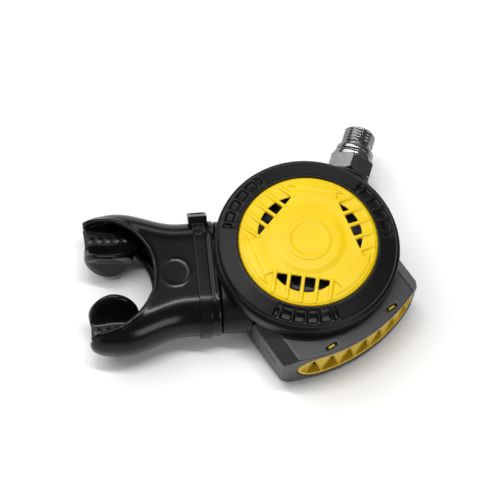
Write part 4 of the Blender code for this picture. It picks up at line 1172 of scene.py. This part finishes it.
# ---------------------------------------------------------------- exhaust
@dataclass
class ExhaustHorn:
    """The black duct under the case that leads bubbles aside."""

    datum: Datum
    left: float = 37.0
    right: float = 34.0
    reach: float = 46.3
    side_end: float = 36.0
    half: float = 13.0
    face_radius: float = 75.0
    wall: float = 1.8
    chamfer: float = 5.6
    sole: float = 2.0
    back: float = 6.0
    neck_edge: float = -29.6
    opening: Point2 = (62.6, 20.0)
    tabs: Point2 = (-16.0, 16.0)
    tab_width: float = 5.2
    tab_slot: float = 1.4
    flank_pad: Point2 = (9.0, 4.6)
    flank_place: float = 27.0
    flank_rise: float = 0.28
    voxel: float = 0.38

    def plan(self, inset: float, back: float) -> list[Point2]:
        """Returns the horn's plan as (across, along) points, moved in by the inset."""
        left, right = self.left - inset, self.right - inset
        radius = self.face_radius - inset
        centre = self.reach - self.face_radius
        first = math.asin((left - self.sole) / radius)
        last = math.asin((right - self.sole) / radius)
        points = [(left, back), (left, self.side_end - inset)]
        steps = 40
        for index in range(steps + 1):
            angle = first - (first + last) * index / steps
            points.append((radius * math.sin(angle), centre + radius * math.cos(angle)))
        return points + [(-right, self.side_end - inset), (-right, back)]

    def form(self, inset: float, back: float) -> Solid:
        """Builds the outer or inner form, with sloped top corners."""
        half = self.half - inset
        left, right = self.left - inset, self.right - inset
        slope, sole = self.chamfer, self.sole
        body = Solid.loft([[(z, across, along) for across, along in self.plan(inset, back)]
                           for z in (-half, half)])
        section = [(-half, left - sole), (sole - half, left), (half - slope, left),
                   (half, left - slope), (half, slope - right), (half - slope, -right),
                   (sole - half, -right), (-half, sole - right)]
        return body.keep(Solid.prism(section, back - 1, self.reach + 1))

    def build(self) -> None:
        """Hollows the duct, opens its face and windows, and softens it."""
        place = self.datum.exhaust_place()
        horn = self.form(0.0, self.back).cut(self.form(self.wall, -5.0))
        opening = [(h, w) for w, h in reversed(stadium(*self.opening, count=32))]
        tools = [Solid.prism(opening, self.side_end - 3, self.reach + 2)]
        tools += [self.tab_window(across) for across in self.tabs]
        horn.cut(*tools).moved(place)
        case = self.datum.case_radius
        horn.cut(Solid.rod(case + GAP, -5, 31, 128),
                 Solid.box((-2 * case, self.neck_edge, -10), (-0.5 * case, case, 62)))
        horn.merged(self.pad().moved(place)).softened(self.voxel, 2)
        publish("exhaust_horn_skin", horn, "housing", HORN_NYLON, ("exhaust_horn",))

    def pad(self) -> Solid:
        """Builds the low oval pad on the left flank."""
        oval = stadium(*self.flank_pad, count=24)
        return Solid.loft([[(z * 0.6 - 1.0, self.left - depth, along * 0.9 + self.flank_place)
                            for along, z in oval] for depth in (1.0, -self.flank_rise)])

    def wall_back(self, across: float) -> float:
        """Returns the place behind the front wall, at a distance from the middle."""
        return self.reach - across ** 2 / (2 * self.face_radius) - self.wall - 2 * GAP

    def tab_window(self, across: float) -> Solid:
        """Builds the cutter for one window that a louvre tab snaps into."""
        front = self.wall_back(across)
        half = self.tab_width / 2
        return Solid.box((self.opening[1] / 2 - 2.2, across - half, front - self.tab_slot),
                         (self.half + 1, across + half, front))


@dataclass
class Louvre:
    """The yellow grille in the horn's face, with pointed ribs between triangular openings."""

    datum: Datum
    horn: ExhaustHorn
    size: Point2 = (62.0, 19.4)
    thickness: float = 4.2
    rail: float = 1.7
    end: float = 3.0
    bays: int = 7
    rib: float = 1.3
    apex_gap: float = 1.2
    sink: float = 1.0
    web: Point2 = (0.9, 3.6)
    web_sink: float = 1.9
    tab_thickness: float = 0.95
    voxel: float = 0.26

    @property
    def pitch(self) -> float:
        """Distance between two openings."""
        return (self.size[0] - 2 * self.end) / self.bays

    def band(self, outer: float, inner: float) -> Solid:
        """Builds a curved band between two radii about the horn's face centre."""
        centre = (0.0, self.horn.reach - self.horn.face_radius)
        reach = self.size[0] / 2 + 2
        spread = 90 - math.degrees(math.asin(reach / outer))
        plan = arc(centre, outer, spread, 180 - spread, 48)
        plan += arc(centre, inner, 180 - spread, spread, 48)
        half = self.size[1] / 2
        return Solid.loft([[(z, across, along) for across, along in plan]
                           for z in (-half, half)])

    def oval(self, inset: float) -> Solid:
        """Builds the grille's oval outline, moved in by the inset, through its depth."""
        outline = stadium(self.size[0] - 2 * inset, self.size[1] - 2 * inset, count=32)
        return Solid.prism([(h, w) for w, h in reversed(outline)], 10, self.horn.reach + 6)

    def bay(self, index: int) -> Solid:
        """Builds one triangular opening that stays inside the rails."""
        middle = self.pitch * (index - (self.bays - 1) / 2)
        half = (self.pitch - self.rib) / 2
        inner = self.size[1] / 2 - self.rail
        triangle = [(-inner - 0.1, middle - half), (-inner - 0.1, middle + half),
                    (inner - self.apex_gap, middle)]
        return Solid.prism(triangle, 12, self.horn.reach + 5).keep(self.oval(self.rail))

    def build(self) -> None:
        """Shapes rails, web and ribs, and adds the two snap tabs."""
        face = self.horn.face_radius - GAP
        rail = self.band(face, face - self.thickness).keep(self.oval(0.0))
        hollow = self.band(face + 1.5, face - self.sink)
        rail.cut(hollow.keep(self.oval(self.rail)))
        rail.cut(*[self.bay(index) for index in range(self.bays)])
        width, depth = self.web
        ribs = zigzag_tree().grow(
            YELLOW_LOUVRE, Bays=self.bays, Half_length=self.pitch * self.bays / 2,
            Half_height=self.size[1] / 2 - self.rail + 0.2, Face_radius=face - self.web_sink,
            Face_centre=self.horn.reach - self.horn.face_radius, Width=width, Depth=depth)
        tabs = [self.tab(across) for across in self.horn.tabs]
        rail.merged(ribs, *tabs).softened(self.voxel, 2).moved(self.datum.exhaust_place())
        publish("exhaust_louvre_skin", rail, "housing", YELLOW_LOUVRE,
                ("exhaust_louvre",))

    def tab(self, across: float) -> Solid:
        """Builds one snap tab behind the horn's front wall."""
        horn = self.horn
        front = horn.wall_back(across) - 0.2
        half = horn.tab_width / 2 - 1.1
        return Solid.box((self.size[1] / 2 - 2.2, across - half, front - self.tab_thickness),
                         (horn.half - 0.35, across + half, front))


# ---------------------------------------------------------------- mouthpiece
@dataclass
class Mouthpiece:
    """The silicone mouthpiece: neck, lip cups with a rolled edge, bite wings, tongue plates."""

    datum: Datum
    centre: Point2 = (-3.7, 14.4)
    near: float = 38.8
    far: float = 96.4
    neck: Point2 = (51.3, 25.8)
    mouth: Point2 = (64.8, 27.0)
    wall: float = 2.8
    tip_radius: float = 7.0
    tip_tuck: float = 4.2
    tip_drop: float = 9.6
    spigot: Point2 = (46.1, 20.6)
    spigot_end: float = 51.8
    airway: Point2 = (38.0, 14.0)
    lip_shift: float = 0.8
    lip: tuple[Point2, ...] = ((65.7, 0.0), (65.8, 2.7), (66.7, 8.3), (68.4, 12.0), (70.5, 15.4),
                               (73.3, 18.7), (76.1, 21.2), (79.0, 23.2), (81.8, 24.8),
                               (86.0, 25.9), (90.0, 26.5), (93.2, 26.9), (95.0, 27.1))
    edge_radius: float = 1.15
    wing_half: float = 1.6
    bumps: tuple[Point2, ...] = ((-92.4, 21.3), (-77.0, 20.6))
    tongue_middle: float = -85.0
    tongue_bow: float = 17.0
    tongue_rings: tuple[Point3, ...] = (
        (8.0, 9.8, 10.2), (8.4, 10.6, 11.0), (9.2, 11.0, 11.4), (10.2, 11.0, 11.1),
        (11.0, 10.9, 10.0), (12.4, 10.8, 7.4), (14.0, 10.6, 4.9), (15.8, 10.2, 3.0),
        (17.4, 9.8, 1.8), (18.4, 9.4, 1.0))
    mark: Point3 = (-57.4, -4.7, 6.2)
    voxel: float = 0.48

    def half_size(self, distance: float) -> Point2:
        """Returns half the width and half the height at a distance from the axis."""
        share = (distance - self.near) / (self.far - self.near)
        swell = math.sin(math.pi / 2 * min(max((share - 0.25) / 0.5, 0.0), 1.0)) ** 2
        taper = 1.5 * max(0.0, share - 0.78) / 0.22
        width = (self.neck[0] + (self.mouth[0] - self.neck[0]) * swell) / 2 - taper
        height = (self.neck[1] + (self.mouth[1] - self.neck[1]) * swell) / 2 - taper
        past = min(max((distance - self.far + self.tip_radius) / self.tip_radius, 0.0), 1.0)
        turn = 1 - math.sqrt(1 - past * past)
        return width - self.tip_tuck * turn, height - self.tip_drop * turn

    def ring(self, distance: float, inset: float) -> list[Point3]:
        """Returns one section of the mouthpiece, moved in by the inset."""
        width, height = self.half_size(distance)
        plan = stadium(2 * (width - inset), 2 * (height - inset), self.centre, 32)
        return [(-distance, y, z) for y, z in plan]

    def shell(self, inset: float, start: float, end: float, count: int = 56) -> Solid:
        """Lofts the outer or inner form between two distances."""
        steps = [start + (end - start) * i / count for i in range(count + 1)]
        return Solid.loft([self.ring(step, inset) for step in steps])

    def oval(self, size: Point2, near: float, far: float) -> Solid:
        """Builds a straight oval block along -X."""
        plan = stadium(*size, self.centre, 32)
        return Solid.loft([[(-reach, y, z) for y, z in plan] for reach in (near, far)])

    def lip_line(self) -> list[Point2]:
        """Returns the plan line of the lip's edge, from the +Y tip round to the -Y tip."""
        line = curved(self.lip, 5)
        across = self.centre[0] + self.lip_shift
        left = [(-x, across + y) for x, y in reversed(line)]
        return left + [(-x, across - y) for x, y in line[1:]]

    def edge(self, side: float) -> Solid:
        """Builds the rolled edge of the lip on the upper or the lower face."""
        path = []
        for x, y in self.lip_line():
            width, height = self.half_size(-x)
            beyond = min(max(abs(y - self.centre[0]) - (width - height), 0.0), height - 0.6)
            rise = math.sqrt(height ** 2 - beyond ** 2) - self.edge_radius * 0.72
            path.append((x, y, self.centre[1] + side * rise))
        return Solid.tube_along(path, self.edge_radius, 14)

    def wing(self, side: int) -> Solid:
        """Builds one bite wing between the cheek and its tongue plate."""
        near = 12.2
        plan = rounded([(-72.0, near + 3.5, 2.0), (-76.0, near, 3.0), (-94.8, near, 3.0),
                        (-95.6, 27.5, 3.0), (-84.0, 31.0, 6.0), (-72.0, 28.6, 2.0),
                        (-72.0, near + 3.5, 2.0)], 5)[:-1]
        y, z = self.centre
        outline = [(x, y + side * across) for x, across in plan]
        return Solid.prism(outline, z - self.wing_half, z + self.wing_half)

    def tongue(self, side: int) -> Solid:
        """Builds one tongue plate, bowed and round, with its broad root on the wing."""
        y, z = self.centre
        rings = []
        for level, length, height in self.tongue_rings:
            ring = []
            for turn in (math.tau * k / 64 for k in range(64)):
                along = length * math.cos(turn)
                across = level + along ** 2 / (2 * self.tongue_bow)
                ring.append((self.tongue_middle + along, y + side * across,
                             z + height * math.sin(turn)))
            rings.append(ring)
        return Solid.loft(rings)

    def raised_mark(self) -> Solid:
        """Builds the plain raised circle on the upper face."""
        x, y, radius = self.mark
        top = self.centre[1] + self.half_size(-x)[1]
        profile = arc((radius, top - 0.05), 0.34, 0, 330, 11)
        return Solid.turned(profile, 96, closed=True).moved(Matrix.Translation((x, y, 0)))

    def beads(self) -> list[Solid]:
        """Builds the two fine beads round the end of the neck."""
        rings = []
        for place in (39.45, 40.95):
            size = (self.neck[0] + 1.1, self.neck[1] + 1.1)
            rings.append(self.oval(size, place - 0.42, place + 0.42))
        return rings

    def build(self) -> None:
        """Shapes the mouthpiece and publishes it as one moulding."""
        body = self.shell(0.0, self.near, self.far)
        cavity = self.shell(self.wall, self.spigot_end + 1.5, self.far - 1.2)
        body.cut(cavity, self.oval(self.spigot, self.near - 1, self.spigot_end),
                 self.oval(self.airway, self.spigot_end - 1, self.spigot_end + 5))
        plan = self.lip_line()
        far = -self.far - 12
        body.cut(Solid.prism(plan + [(far, plan[-1][1]), (far, plan[0][1])], -10, 50))
        soft = [self.edge(1.0), self.edge(-1.0), self.raised_mark(), *self.beads()]
        for side in (-1, 1):
            soft += [self.wing(side), self.tongue(side)]
            y, z = self.centre
            for face in (-1, 1):
                ends = [(x, y + side * across, z + face * (self.wing_half + 0.1))
                        for x, across in self.bumps]
                soft.append(bumps_tree().grow(BLACK_SILICONE, Start=ends[0], End=ends[1], Count=5,
                                              Radius=0.62, Flatness=0.5))
        bore = self.oval(self.spigot, self.near - 2, self.spigot_end)
        body.merged(*soft).softened(self.voxel, 9).cut(bore)
        publish("mouthpiece_skin", body, "housing", BLACK_SILICONE, ("mouthpiece",))


def curved(points: Sequence[Point2], steps: int) -> list[Point2]:
    """Returns a smooth line through the points, with a number of segments between each two."""
    line = [Vector(point) for point in points]
    line = [2 * line[0] - line[1], *line, 2 * line[-1] - line[-2]]
    result = []
    for before, first, last, after in zip(line, line[1:], line[2:], line[3:]):
        for step in range(steps):
            t = step / steps
            point = 0.5 * (2 * first + (last - before) * t
                           + (2 * before - 5 * first + 4 * last - after) * t * t
                           + (3 * first - before - 3 * last + after) * t ** 3)
            result.append((point.x, point.y))
    return result + [tuple(line[-2])]


@dataclass
class Strap:
    """The nylon tie that holds the mouthpiece on its spigot."""

    datum: Datum
    centre: Point2 = (-3.7, 14.4)
    place: float = 45.5
    width: float = 5.4
    inner: Point2 = (51.9, 26.4)
    thickness: float = 0.9
    head: Point3 = (8.3, 8.6, 3.6)
    head_angle: float = 35.0
    voxel: float = 0.27

    def band(self, grow: float, low: float, high: float) -> Solid:
        """Builds an oval block round the neck, from low to high along X."""
        plan = stadium(self.inner[0] + 2 * grow, self.inner[1] + 2 * grow, self.centre, 48)
        return Solid.loft([[(-self.place + along, y, z) for y, z in plan] for along in (low, high)])

    def head_place(self, degrees: float, out: float = 0.2) -> Matrix:
        """Returns the axes of a point on the round end: Z outwards, Y round the neck."""
        turn = math.radians(degrees)
        radius = self.inner[1] / 2 + out
        middle = (self.inner[0] - self.inner[1]) / 2
        place = Vector((-self.place, self.centre[0] + middle + radius * math.cos(turn),
                        self.centre[1] + radius * math.sin(turn)))
        return Matrix.Translation(place) @ Matrix.Rotation(turn - math.pi / 2, 4, "X")

    def build(self) -> None:
        """Shapes the band, its ratchet head and the start of the tail."""
        half = self.width / 2
        strap = self.band(self.thickness, -half, half)
        for turn in (62.0, 74.0):
            step = Solid.box((-1.5, -1.0, 0), (1.5, 1.0, self.thickness + 0.35))
            strap.join(step.moved(self.head_place(turn, 0.0)))
        along, around, out = self.head
        plan = rounded([(-along / 2, 0, 0), (-along / 2, around / 2, 0.9),
                        (along / 2, around / 2, 0.9), (along / 2, -around / 2, 0.9),
                        (-along / 2, -around / 2, 0.9), (-along / 2, 0, 0)], 4)[:-1]
        head = Solid.prism(plan, 0, out)
        head.cut(Solid.box((-along / 2 + 1.2, -around / 2 + 1.3, out - 0.35),
                           (along / 2 - 1.2, around / 2 - 1.3, out + 1)))
        strap.join(head.moved(self.head_place(self.head_angle)))
        strap.cut(self.band(0.0, -half - 5, half + 5)).softened(self.voxel, 2)
        publish("mouthpiece_strap_skin", strap, "housing", STRAP_NYLON,
                ("mouthpiece_strap",))


# ---------------------------------------------------------------- hose inlet
@dataclass
class InletFitting:
    """The plated hex fitting with its collar and the hose thread."""

    datum: Datum
    base: float = 45.2
    hex_length: float = 7.4
    flats: float = 19.0
    band: float = 2.8
    groove: float = 0.8
    collar: float = 2.5
    relief: float = 2.0
    thread: float = 7.6
    thread_radius: float = 7.15
    pitch: float = 1.411
    spigot: float = 4.7
    spigot_end: float = 28.6
    bore: float = 3.4

    def stations(self) -> list[float]:
        """Returns the places of the shoulders along the axis, from the hex to the tip."""
        places = [self.base + self.hex_length]
        for length in (self.band, self.groove, self.collar, self.relief, self.thread):
            places.append(places[-1] + length)
        return places

    def body(self) -> Solid:
        """Builds the turned part, from the bore at the tip down to the spigot."""
        shoulder, band, groove, collar, relief, tip = self.stations()
        outer = self.thread_radius - 0.42
        flat = self.flats / 2
        points = [
            (self.bore, tip - 1.2, 0), (self.bore + 1.2, tip, 0.2), (outer - 1.0, tip, 0.2),
            (outer, tip - 1.0, 0), (outer, relief, 0), (outer - 0.55, relief - 0.5, 0.2),
            (outer - 0.55, collar + 0.1, 0.2), (outer + 0.3, collar, 0.15),
            (outer + 1.75, collar, 0.5), (outer + 1.85, (collar + groove) / 2, 2.0),
            (outer + 1.75, groove, 0.4), (outer + 0.75, groove, 0.2), (outer + 0.75, band, 0.2),
            (flat - 0.35, band, 0.6), (flat - 0.2, (band + shoulder) / 2, 3.0),
            (flat - 0.55, shoulder + 0.35, 0.3), (flat - 1.0, shoulder, 0.2),
            (flat - 1.1, self.base + 0.5, 0), (self.spigot, self.base + 0.5, 0),
            (self.spigot, self.spigot_end, 0.2), (self.bore, self.spigot_end, 0),
        ]
        return Solid.turned(rounded(points, 5), 128, closed=True)

    def hexagon(self) -> Solid:
        """Builds the hex with its turned chamfers."""
        corner = self.flats / math.sqrt(3)
        plan = arc((0, 0), corner, 0, 300, 5)
        block = Solid.prism(plan, self.base, self.base + self.hex_length)
        top = self.base + self.hex_length
        flat = self.flats / 2
        cone = [(0, self.base - 0.6), (flat - 0.3, self.base - 0.6),
                (corner + 0.2, self.base + 0.8), (corner + 0.2, top - 0.8),
                (flat - 0.3, top + 0.6), (0, top + 0.6)]
        return block.keep(Solid.turned(cone, 128)).cut(
            Solid.rod(self.spigot - 0.5, self.base - 2, top + 2, 64))

    def build(self) -> None:
        """Unites the fitting and winds its thread."""
        place = self.datum.valve_place()
        turn = math.atan2(self.datum.valve_axis.y, self.datum.valve_axis.x)
        nickel = satin_nickel(turn)
        relief, tip = self.stations()[-2:]
        fitting = self.body().join(self.hexagon())
        thread = coil_tree().grow(
            nickel, Radius=self.thread_radius - 0.42, Section=0.44,
            Height=tip - relief - 1.4, Turns=(tip - relief - 1.4) / self.pitch, Sides=8, Steps=72)
        fitting.moved(place)
        thread.moved(place @ Matrix.Translation((0, 0, relief + 0.5)))
        publish("inlet_fitting_skin", fitting, "housing", nickel,
                ("inlet_fitting",), sharp=24.0)
        publish("inlet_thread", thread, "housing", nickel)


def satin_nickel(turn: float) -> TurnedMetal:
    """Returns the plating of the valve's turned parts, with lathe rings about its axis."""
    return TurnedMetal("satin_nickel_plate", (0.3, 0.3, 0.305), (0.19, 0.19, 0.195), 0.2, turn)


# ---------------------------------------------------------------- works inside
@dataclass
class InnerWorks:
    """Springs, and the finishes of the pieces whose shape the frame already has."""

    datum: Datum
    purge_spring: Point3 = (9.75, 34.9, 38.5)
    poppet_spring: Point3 = (3.6, -17.2, 12.2)
    travel: dict[str, float] = field(default_factory=lambda: {"purge_press": 3.0,
                                                              "poppet_slide": 0.75})

    def spring(self, name: str, place: Matrix, sizes: Point3, wire: float, turns: float) -> None:
        """Winds one spring in place of its node, on the node's body.

        Args:
            name: the node's name.
            place: axes with Z along the spring.
            sizes: mean radius, lowest and highest place along the axis.
            wire: radius of the wire.
            turns: number of turns.
        """
        radius, low, high = sizes
        coil = coil_tree().grow(STEEL, Radius=radius, Section=wire, Height=high - low - 2 * wire,
                                Turns=turns, Sides=10, Steps=40)
        coil.moved(place @ Matrix.Translation((0, 0, low + wire)))
        body = frame["nodes"][name]["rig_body"]
        item = publish(f"{name}_wire", coil, body, STEEL, (name,))
        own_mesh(item)

    def build(self) -> None:
        """Winds the springs and dresses the remaining nodes."""
        valve = self.datum.valve_place()
        self.spring("purge_spring", Matrix.Identity(4), self.purge_spring, 0.45, 3.0)
        self.spring("poppet_spring", valve, self.poppet_spring, 0.35, 7.0)
        turn = math.atan2(self.datum.valve_axis.y, self.datum.valve_axis.x)
        finishes = {
            "diaphragm_clamp": BLACK_NYLON, "diaphragm": GREY_SILICONE, "diaphragm_plate": STEEL,
            "valve_barrel": satin_nickel(turn), "barrel_gasket": NITRILE,
            "inlet_washer": NITRILE, "orifice": satin_nickel(turn), "orifice_oring": NITRILE,
            "poppet": ACETAL, "poppet_seat": NITRILE, "lever": STEEL, "lever_washer": STEEL,
            "lock_nut": STEEL, "exhaust_valve": GREY_SILICONE,
        }
        for node, finish in finishes.items():
            dress_node(node, finish)


STEEL = TurnedMetal("stainless_steel", (0.58, 0.575, 0.56), (0.45, 0.445, 0.43), 0.3)


def dress_node(node: str, finish: Finish) -> None:
    """Gives every material slot of a frame node the finish."""
    for slot in frame["nodes"][node].material_slots:
        slot.material = finish.material()
    LOG.info("%s: dressed in %s", node, finish.name)


# ---------------------------------------------------------------- studio
@dataclass
class Studio:
    """A pale floor, soft lamps and the camera."""

    target: Point3 = (-25.15, -1.06, 37.05)
    distance: float = 900.0
    lens: float = 151.0
    right: Point3 = (0.9930, -0.1020, 0.0577)
    up: Point3 = (0.0720, 0.9195, 0.3864)

    def floor(self) -> None:
        """Lays the floor under the flat back."""
        solid = Solid.box((-4000, -4000, -10), (4000, 4000, -0.05))
        solid.mesh.transform(Matrix.Scale(MM, 4))
        item = bpy.data.objects.new("floor", solid.mesh)
        bpy.context.scene.collection.objects.link(item)
        material = bpy.data.materials.new("pale_floor")
        material.use_nodes = True
        tree = material.node_tree
        shader = shader_of(tree, Roughness=0.9, Specular_IOR_Level=0.1)
        cloud = placed_noise(tree, 3.0, 2.0)
        tint = ramp(tree, cloud.outputs["Fac"], 0.3, 0.7, (0.9, 0.9, 0.9), (0.93, 0.93, 0.93))
        tree.links.new(tint, shader.inputs["Base Color"])
        item.data.materials.append(material)

    def lamp(self, name: str, place: Point3, size: Point2, power: float) -> None:
        """Hangs one soft rectangular lamp, aimed at the object.

        Args:
            name: name of the lamp.
            place: where it hangs, in millimetres.
            size: its width and height, in millimetres.
            power: its power, in watts.
        """
        light = bpy.data.lights.new(name, "AREA")
        light.shape = "RECTANGLE"
        light.size, light.size_y = (side * MM for side in size)
        light.energy = power
        item = bpy.data.objects.new(name, light)
        item.location = Vector(place) * MM
        aim = Vector(self.target) * MM - item.location
        item.rotation_euler = aim.to_track_quat("-Z", "Y").to_euler()
        bpy.context.scene.collection.objects.link(item)

    def surround(self, brightness: float) -> None:
        """Fills the room with even white light."""
        world = bpy.data.worlds.new("white_room")
        world.use_nodes = True
        back = world.node_tree.nodes["Background"]
        back.inputs["Color"].default_value = (1.0, 1.0, 1.0, 1.0)
        back.inputs["Strength"].default_value = brightness
        bpy.context.scene.world = world

    def camera(self) -> None:
        """Places the camera, square to the axes it is given."""
        right = Vector(self.right).normalized()
        back = right.cross(Vector(self.up)).normalized()
        turn = Matrix((right, back.cross(right), back)).transposed().to_4x4()
        lens = bpy.data.cameras.new("camera")
        lens.lens = self.lens
        lens.sensor_width = 36.0
        lens.clip_start = 0.01
        item = bpy.data.objects.new("camera", lens)
        item.matrix_world = Matrix.Translation((Vector(self.target)
                                                + back * self.distance) * MM) @ turn
        bpy.context.scene.collection.objects.link(item)
        bpy.context.scene.camera = item

    def build(self) -> None:
        """Sets up the whole studio."""
        self.floor()
        self.surround(0.14)
        self.lamp("key", (-620, 380, 900), (1000, 1000), 9.8)
        self.lamp("streak", (20, 150, 1150), (700, 20), 7.0)
        self.lamp("north", (300, 1000, 480), (900, 300), 2.5)
        self.lamp("south", (500, -900, 520), (500, 400), 4.0)
        self.camera()
        bpy.context.scene.view_settings.view_transform = "Standard"


def main() -> None:
    """Builds the sub-assemblies in order."""
    logging.basicConfig(level=logging.INFO, format="%(name)s %(message)s")
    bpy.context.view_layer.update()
    Studio().build()
    datum = Datum.read()
    horn = ExhaustHorn(datum)
    for assembly in (PurgeCover(datum), CoverRing(datum), Case(datum), horn,
                     Louvre(datum, horn), Mouthpiece(datum), Strap(datum), InletFitting(datum),
                     InnerWorks(datum)):
        assembly.build()
        LOG.info("%s is built", type(assembly).__name__)


if __name__ == "__main__":
    main()
